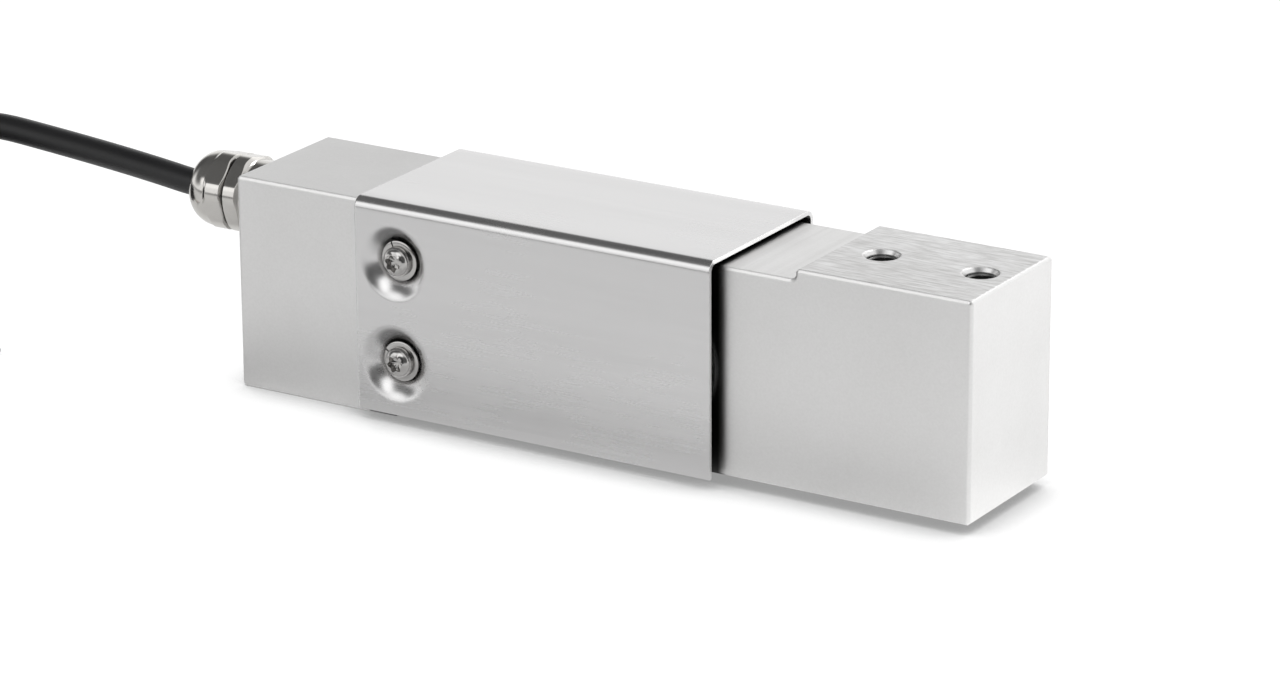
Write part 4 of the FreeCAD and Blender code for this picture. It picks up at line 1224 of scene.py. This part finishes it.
@dataclass
class Gland:
    """The hexagonal gland and its domed cap nut."""

    height: float = SOLIDS.port_height
    flats: float = 14.0
    corners: float = 7.45
    first_corner: float = 47.0
    corner_sharpness: float = 70.0
    edge_sharpness: float = 90.0
    chamfer: float = 0.8
    chamfer_slope: float = 0.6
    face: float = -15.725
    shoulder: float = -17.165
    neck: float = 6.6
    hexagon: float = -21.225
    upper: float = -24.625
    nut: float = -24.725
    nut_end: float = -33.825
    dome: float = 5.0
    dome_radius: float = 7.1
    end_radius: float = 3.45
    bore: float = 2.75
    lip: float = 0.35
    thread_inner: float = 4.4
    thread_outer: float = 5.4
    thread_depth: float = 2.0
    spigot: float = 5.6
    spigot_length: float = 3.0
    nut_bore: float = 5.65
    step: float = 0.12
    inner_step: float = 0.4

    def hexed(self, profile: np.ndarray) -> np.ndarray:
        """A turned profile held inside a hexagonal prism.

        The radius is a soft minimum of the profile and of the hexagon, whose own radius is half
        its flats over the cosine of the angle from the nearest flat's middle, with soft corners.

        Args:
            profile: stations by 2, place along X and radius, as a closed outline.

        Returns:
            Stations by angles by 3.
        """
        angles = full_circle(360)
        middles = math.radians(self.first_corner + 30.0) + np.arange(6) * math.pi / 3
        towards = np.maximum(np.cos(angles[:, None] - middles), 1e-3)
        corner, edge = self.corner_sharpness, self.edge_sharpness
        hexagon = self.flats / 2 * (towards**corner).sum(1) ** (-1.0 / corner)
        radius = profile[:, 1:]
        both = (radius**-edge + hexagon**-edge) ** (-1.0 / edge)
        y, z = both * np.cos(angles), self.height + both * np.sin(angles)
        return np.stack([profile[:, :1] + 0.0 * angles, y, z], axis=-1)

    def body(self) -> np.ndarray:
        """The outline of neck, shoulder and hexagon, and of a plain stretch inside the nut.

        Returns:
            Stations by 2, place along X and radius, in a closed loop.
        """
        slope = self.chamfer_slope * self.chamfer
        low = self.corners - self.chamfer
        first, last = self.face + self.thread_depth, self.upper - self.spigot_length
        outside = dense(
            [
                (first, self.thread_inner),
                (first, self.thread_outer),
                (self.shoulder + 0.05, self.thread_outer),
                (self.shoulder + 0.05, self.neck - 0.15),
                (self.shoulder - 0.15, self.neck),
                (self.hexagon + 0.5, self.neck),
                (self.hexagon + 0.4, self.neck - 0.2),
                (self.hexagon, low),
                (self.hexagon - slope, self.corners),
                (self.upper + slope, self.corners),
                (self.upper, low),
                (self.upper, self.spigot),
                (last, self.spigot),
                (last, self.thread_inner),
            ],
            self.step,
        )
        inside = dense([(last, self.thread_inner), (first, self.thread_inner)], self.inner_step)
        return np.concatenate([outside[:-1], inside[:-1]])

    def cap(self) -> np.ndarray:
        """The nut's outline: chamfered rim, straight flats, rounded mouth and bore.

        Its dome is a quarter of an ellipse.

        Returns:
            Stations by 2, place along X and radius, in a closed loop.
        """
        slope = self.chamfer_slope * self.chamfer
        shoulder = self.nut_end + self.dome
        turn = np.linspace(0.0, np.pi / 2, 46)
        dome = np.stack(
            [
                shoulder - self.dome * np.sin(turn),
                self.end_radius + (self.dome_radius - self.end_radius) * np.cos(turn),
            ],
            axis=-1,
        )
        rim = dense(
            [
                (self.nut, self.nut_bore),
                (self.nut, self.corners - self.chamfer),
                (self.nut - slope, self.corners),
                (shoulder + 0.7, self.corners),
                (shoulder, self.dome_radius),
            ],
            self.step,
        )
        round_lip = np.linspace(0.0, np.pi / 2, 7)[1:]
        mouth = np.stack(
            [
                self.nut_end + self.lip * (1.0 - np.cos(round_lip)),
                self.end_radius - 0.1 - self.lip * np.sin(round_lip),
            ],
            axis=-1,
        )
        inside = dense(
            [
                (self.nut_end + 0.6, self.bore + 0.2),
                (self.nut_end + 1.8, self.bore + 0.2),
                (self.nut_end + 2.6, self.nut_bore),
                (self.nut, self.nut_bore),
            ],
            self.inner_step,
        )[:-1]
        return np.concatenate([rim[:-1], dome, mouth, inside])

    def build(self, finishes: dict[str, bpy.types.Material]) -> list[bpy.types.Object]:
        """Make the gland's body and its nut.

        Args:
            finishes: materials by slot.

        Returns:
            The two pieces.
        """
        finish = finishes["plated_gland"]
        body = Shape().add(self.hexed(self.body()), close_rows=True, close_columns=True)
        cap = Shape().add(self.hexed(self.cap()), close_rows=True, close_columns=True)
        return [
            settle(body.piece("gland_hexagon"), finish, "plated_gland", "gland_body"),
            settle(cap.piece("gland_dome"), finish, "plated_gland", "gland_cap_nut"),
        ]


# Threads of the mounting holes


@dataclass
class MountingThreads:
    """Thread ridges inside the four mounting holes of the bar."""

    bore: float = 2.5
    pitch: float = 1.0
    ridge: float = 0.3
    ridge_foot: float = 0.04
    turns: int = 12
    lead_in: float = 0.9
    fade_angle: float = 0.8

    def ridge_points(self) -> np.ndarray:
        """A helix that carries a low triangle, which shrinks to nothing at both ends.

        The triangle's foot lies a little outside the bore, inside the wall, and its tip is flat.

        Returns:
            Stations by section points by 3, going down from Z = 0.
        """
        angle = np.linspace(0.0, 2.0 * np.pi * self.turns, 48 * self.turns + 1)
        fade = np.clip(np.minimum(angle, angle[-1] - angle) / self.fade_angle, 0.0, 1.0)[:, None]
        depth = self.lead_in + angle[:, None] / (2.0 * np.pi) * self.pitch
        section_r = np.array([self.ridge_foot, self.ridge_foot, -self.ridge, -self.ridge])
        section_z = np.array([-0.42, 0.42, 0.07, -0.07])
        reach = self.bore + section_r * fade
        height = -(depth + section_z * self.pitch * fade)
        turn = angle[:, None]
        return np.stack([reach * np.cos(turn), reach * np.sin(turn), height], axis=-1)

    def build(self, finishes: dict[str, bpy.types.Material]) -> list[bpy.types.Object]:
        """Make the ridges of all four holes as one piece.

        Args:
            finishes: materials by slot.

        Returns:
            The piece.
        """
        ridge, shape = self.ridge_points(), Shape()
        for middle, top, way in ((0.0, 0.0, -1.0), (SOLIDS.load_x, SOLIDS.load_z, 1.0)):
            for side in (-0.5, 0.5):
                place = ridge * (1.0, way, way) + (middle + side * SOLIDS.bolt_pitch, 0.0, top)
                shape.add(place, close_columns=True)
        threads = shape.piece("mounting_threads", 30.0)
        return [settle(threads, finishes["bar_steel"], "bar_steel")]


# The studio


@dataclass(frozen=True)
class Patch:
    """A round light or dark place on the room's walls or ceiling.

    It is even as far as core degrees from its middle, and has faded out at edge degrees.
    """

    towards: Point
    core: float
    edge: float
    strength: float

    def share(self, graph: Graph, way: Value) -> Value:
        """How much of the patch a ray meets: 1 in its core and 0 beyond its edge.

        Args:
            graph: the world's graph.
            way: the ray's direction.

        Returns:
            The share.
        """
        unit = tuple(Vector(self.towards).normalized())
        settings, values = {"operation": "DOT_PRODUCT"}, {0: way, 1: unit}
        near = graph.node("ShaderNodeVectorMath", settings, values, output="Value")
        return near.ramp(math.cos(math.radians(self.edge)), math.cos(math.radians(self.core)))


@dataclass
class Studio:
    """Camera, floor, lamp and world at the photograph's view.

    The sizes of the floor and the place that the lamp looks at are metres.
    """

    azimuth: float = 31.8152
    elevation: float = 19.0969
    roll: float = -0.3379
    distance: float = 957.619
    shift: tuple[float, float] = (1.8544, 9.5092)
    lens: float = 152.58
    target: Point = (59.275, 5.6, 25.0)
    white: Colour = (1.0, 1.0, 1.0)
    floor_colour: Colour = (0.8, 0.8, 0.8)
    floor_reach: float = 6.0
    front_edge: tuple[float, float] = (0.15, 0.42)
    contact_reach: float = 0.012
    contact_light: float = 0.3
    foot_reach: float = 0.017
    lamp_aim: Point = (0.06, 0.0, 0.02)
    patches: tuple[Patch, ...] = (
        Patch((-0.50, 0.05, 0.865), 28.0, 49.0, 0.13),
        Patch((-0.75, -0.35, 0.45), 10.0, 27.0, 0.15),
        Patch((-0.91, 0.35, 0.30), 8.0, 24.0, 0.1),
        Patch((0.33, 0.80, 0.50), 10.0, 25.0, 1.6),
        Patch((0.05, -0.77, 0.63), 12.0, 24.0, 1.6),
        Patch((0.25, -0.95, 0.14), 18.0, 30.0, 0.06),
        Patch((0.64, -0.64, 0.33), 16.0, 30.0, 0.12),
        Patch((-0.56, -0.70, 0.44), 9.0, 17.0, 1.4),
    )

    def camera(self) -> None:
        """Place the camera from its angles: it looks back along its own axis at the target."""
        az, el, roll = (math.radians(a) for a in (self.azimuth, self.elevation, self.roll))
        back = Vector((math.sin(az) * math.cos(el), -math.cos(az) * math.cos(el), math.sin(el)))
        right = Vector((math.cos(az), math.sin(az), 0.0))
        up = back.cross(right)
        turned_right = right * math.cos(roll) + up * math.sin(roll)
        turned_up = up * math.cos(roll) - right * math.sin(roll)
        place = Vector(self.target) + back * self.distance
        place -= turned_right * self.shift[0] + turned_up * self.shift[1]
        data = bpy.data.cameras.new("camera")
        data.lens = self.lens
        data.sensor_width = 36.0
        data.clip_start = 0.05
        data.clip_end = 20.0
        made = in_scene("camera", data)
        turn = Matrix((turned_right, turned_up, back)).transposed().to_4x4()
        made.matrix_world = Matrix.Translation(place * MM) @ turn
        bpy.context.scene.camera = made

    def mirrored_floor(self, graph: Graph, x: Value, y: Value) -> tuple[Value, Value]:
        """The floor as the part mirrors it.

        Its glow, seen only in mirrored rays, is painted light: brighter at the back right and close to the
        part's foot. Beyond the table's front edge it is dark, most of all at the right.

        Args:
            graph: the floor's graph.
            x: the place along the bar, in metres.
            y: the place across it.

        Returns:
            The strength of its glow, and the share of its colour that is lost.
        """
        beyond = (0.0 - y).ramp(*self.front_edge)
        # painted light in reflections: the floor glows for mirrored rays at the back right and near the
        # part's foot
        back_right = (0.53 * x + 0.85 * y).ramp(-0.08, 0.12)
        foot = (1.0 - graph.open_share(self.foot_reach)).ramp(0.0, 0.5, 0.0, 0.13)
        glow = (0.1 + 0.18 * back_right + foot) * (1.0 - beyond)
        return glow, beyond * x.ramp(-0.3, -0.1, 0.55, 0.9)

    def floor_material(self) -> bpy.types.Material:
        """White to the camera with a painted contact shadow where the part comes close, plain grey to the
        lamp.

        What the camera sees is a smooth step of 1 - 2.4 c^2, where c is how closed a place is: a painted
        shadow.

        Returns:
            The material.
        """
        material = bpy.data.materials.new("floor")
        graph = Graph(material)
        seen = graph.node("ShaderNodeLightPath", output="Is Camera Ray")
        mirrored = graph.node("ShaderNodeLightPath", output="Is Glossy Ray")
        place = graph.object_place()
        mirror, dark = self.mirrored_floor(graph, graph.part_of(place, 0), graph.part_of(place, 1))
        # painted shadow: ambient occlusion darkens the floor's glow that the camera sees
        close = 1.0 - graph.open_share(self.contact_reach)
        white_with_painted_shadow = (1.0 - 2.4 * close * close).ramp(0.0, 1.0, self.contact_light, 1.0)
        shade = (0.9 * seen + mirrored * dark).least(1.0)
        colour = graph.mix(shade, rgba(self.floor_colour), BLACK)
        diffuse = graph.node("ShaderNodeBsdfDiffuse", None, {"Color": colour})
        strength = seen * white_with_painted_shadow + mirrored * mirror
        values = {"Color": rgba(self.white), "Strength": strength}
        glow = graph.node("ShaderNodeEmission", None, values)
        both = graph.node("ShaderNodeAddShader", None, {0: diffuse, 1: glow})
        graph.node("ShaderNodeOutputMaterial", None, {"Surface": both})
        return material

    def floor(self) -> None:
        """A wide plain floor at the height of the foot."""
        mesh = bpy.data.meshes.new("floor")
        reach = self.floor_reach
        corners = [(-reach, -reach, 0.0), (reach, -reach, 0.0), (reach, reach, 0.0), (-reach, reach, 0.0)]
        mesh.from_pydata(corners, [], [(0, 1, 2, 3)])
        mesh.materials.append(self.floor_material())
        in_scene("floor", mesh)

    def world(self) -> None:
        """A soft room: even walls, a dark ceiling at the left and soft boxes; white to the camera."""
        world = bpy.data.worlds.new("studio")
        bpy.context.scene.world = world
        graph = Graph(world)
        way = graph.node("ShaderNodeTexCoord", output="Generated")
        height = graph.part_of(way, 2)
        light = height.ramp(-0.1, 0.9, 1.15, 0.9)
        for patch in self.patches:
            light = light + patch.share(graph, way) * (patch.strength - light)
        seen = graph.node("ShaderNodeLightPath", output="Is Camera Ray")
        values = {"Color": rgba(self.white), "Strength": light + seen * (1.0 - light)}
        glow = graph.node("ShaderNodeBackground", None, values)
        graph.node("ShaderNodeOutputWorld", None, {"Surface": glow})

    def lamp(self, name: str, place: Point, size: float, power: float) -> None:
        """A square soft lamp that faces the part.

        Args:
            name: the lamp's name.
            place: where it stands, in metres.
            size: its side, in metres.
            power: its power, in watts.
        """
        data = bpy.data.lights.new(name, "AREA")
        data.shape = "SQUARE"
        data.size = size
        data.energy = power
        made = in_scene(name, data)
        made.location = place
        aim = Vector(self.lamp_aim) - Vector(place)
        made.rotation_euler = aim.to_track_quat("-Z", "Y").to_euler()

    def build(self) -> None:
        """Set up everything that isn't the part."""
        bpy.context.scene.view_settings.view_transform = "Standard"
        self.camera()
        self.floor()
        self.world()
        self.lamp("key", place=(0.4, 0.6, 0.9), size=0.45, power=5.0)
        LOG.info("studio is set")


# The whole part


# crevice, crevice_light and under_light paint shade into a metal's colour
FINISHES: dict[str, Finish] = {
    "bar_steel": MachinedBar("bar_steel_satin", (0.81, 0.8, 0.785), 0.34),
    "sheet_steel": Metal(
        "sheet_steel_brushed",
        (0.705, 0.7, 0.7),
        roughness=0.26,
        grain=Grain.ALONG,
        grain_scale=1500.0,
        grain_depth=0.003,
        grain_shade=0.07,
        cloud_scale=40.0,
        cloud_shade=0.03,
        crevice=1.1,
        crevice_light=0.75,
        under_light=0.4,
    ),
    "screw_steel": Metal(
        "screw_steel_bright",
        (0.53, 0.52, 0.51),
        roughness=0.14,
        crevice=1.1,
        crevice_light=0.7,
    ),
    "plated_gland": Metal(
        "gland_plate",
        (0.62, 0.605, 0.58),
        roughness=0.14,
        grain_scale=700.0,
        crevice=1.5,
    ),
    "gauge_foil": GaugeFilm("gauge_film", (0.62, 0.33, 0.08)),
    "board_laminate": Plastic("board_mask", (0.05, 0.22, 0.09), 0.35),
    "resistor_body": Plastic("chip_body", (0.03, 0.03, 0.03), 0.5),
    "copper_lead": Metal("enamelled_copper", (0.6, 0.25, 0.1), 0.3, grain_shade=0.1),
    "seal_rubber": Plastic("seal_rubber_matt", (0.02, 0.02, 0.02), 0.7),
    "clamp_plastic": Plastic("clamp_nylon", (0.6, 0.59, 0.55), 0.5),
    "cable_jacket": Plastic("jacket_black", (0.01, 0.01, 0.011), 0.45, 900.0, 0.02),
    "tie_plastic": Plastic("tie_nylon", (0.02, 0.02, 0.02), 0.4),
    "core_insulation_red": Plastic("core_red_skin", (0.55, 0.02, 0.02), 0.35),
    "core_insulation_black": Plastic("core_black_skin", (0.02, 0.02, 0.02), 0.35),
    "core_insulation_green": Plastic("core_green_skin", (0.02, 0.28, 0.06), 0.35),
    "core_insulation_white": Plastic("core_white_skin", (0.75, 0.75, 0.73), 0.35),
    "core_insulation_clear": Plastic("core_clear_skin", (0.5, 0.5, 0.47), 0.3),
    "tinned_ferrule": Metal("tinned_pin", (0.7, 0.7, 0.7), 0.25, grain_depth=0.004, grain_shade=0.12),
}


def dress_nodes(frame: dict, finishes: dict[str, bpy.types.Material]) -> None:
    """Give every node of the frame the finish of its slot.

    Args:
        finishes: materials by slot.
    """
    for subpart in frame["record"]["subparts"]:
        node = frame["nodes"][subpart["node"]]
        node.data.materials.clear()
        node.data.materials.append(finishes[subpart["material_slot"]])


def main() -> None:
    """Build the studio and the part's pieces."""
    logging.basicConfig(level=logging.INFO, format="%(name)s: %(message)s")
    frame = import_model()
    Studio().build()
    finishes = {slot: finish.build() for slot, finish in FINISHES.items()}
    dress_nodes(frame, finishes)
    for assembly in (Cable(), Cover(), CoverScrews(), Gland(), MountingThreads()):
        for piece in assembly.build(finishes):
            LOG.info("%s: %s", type(assembly).__name__, piece.name)


if __name__ == "__main__":
    main()
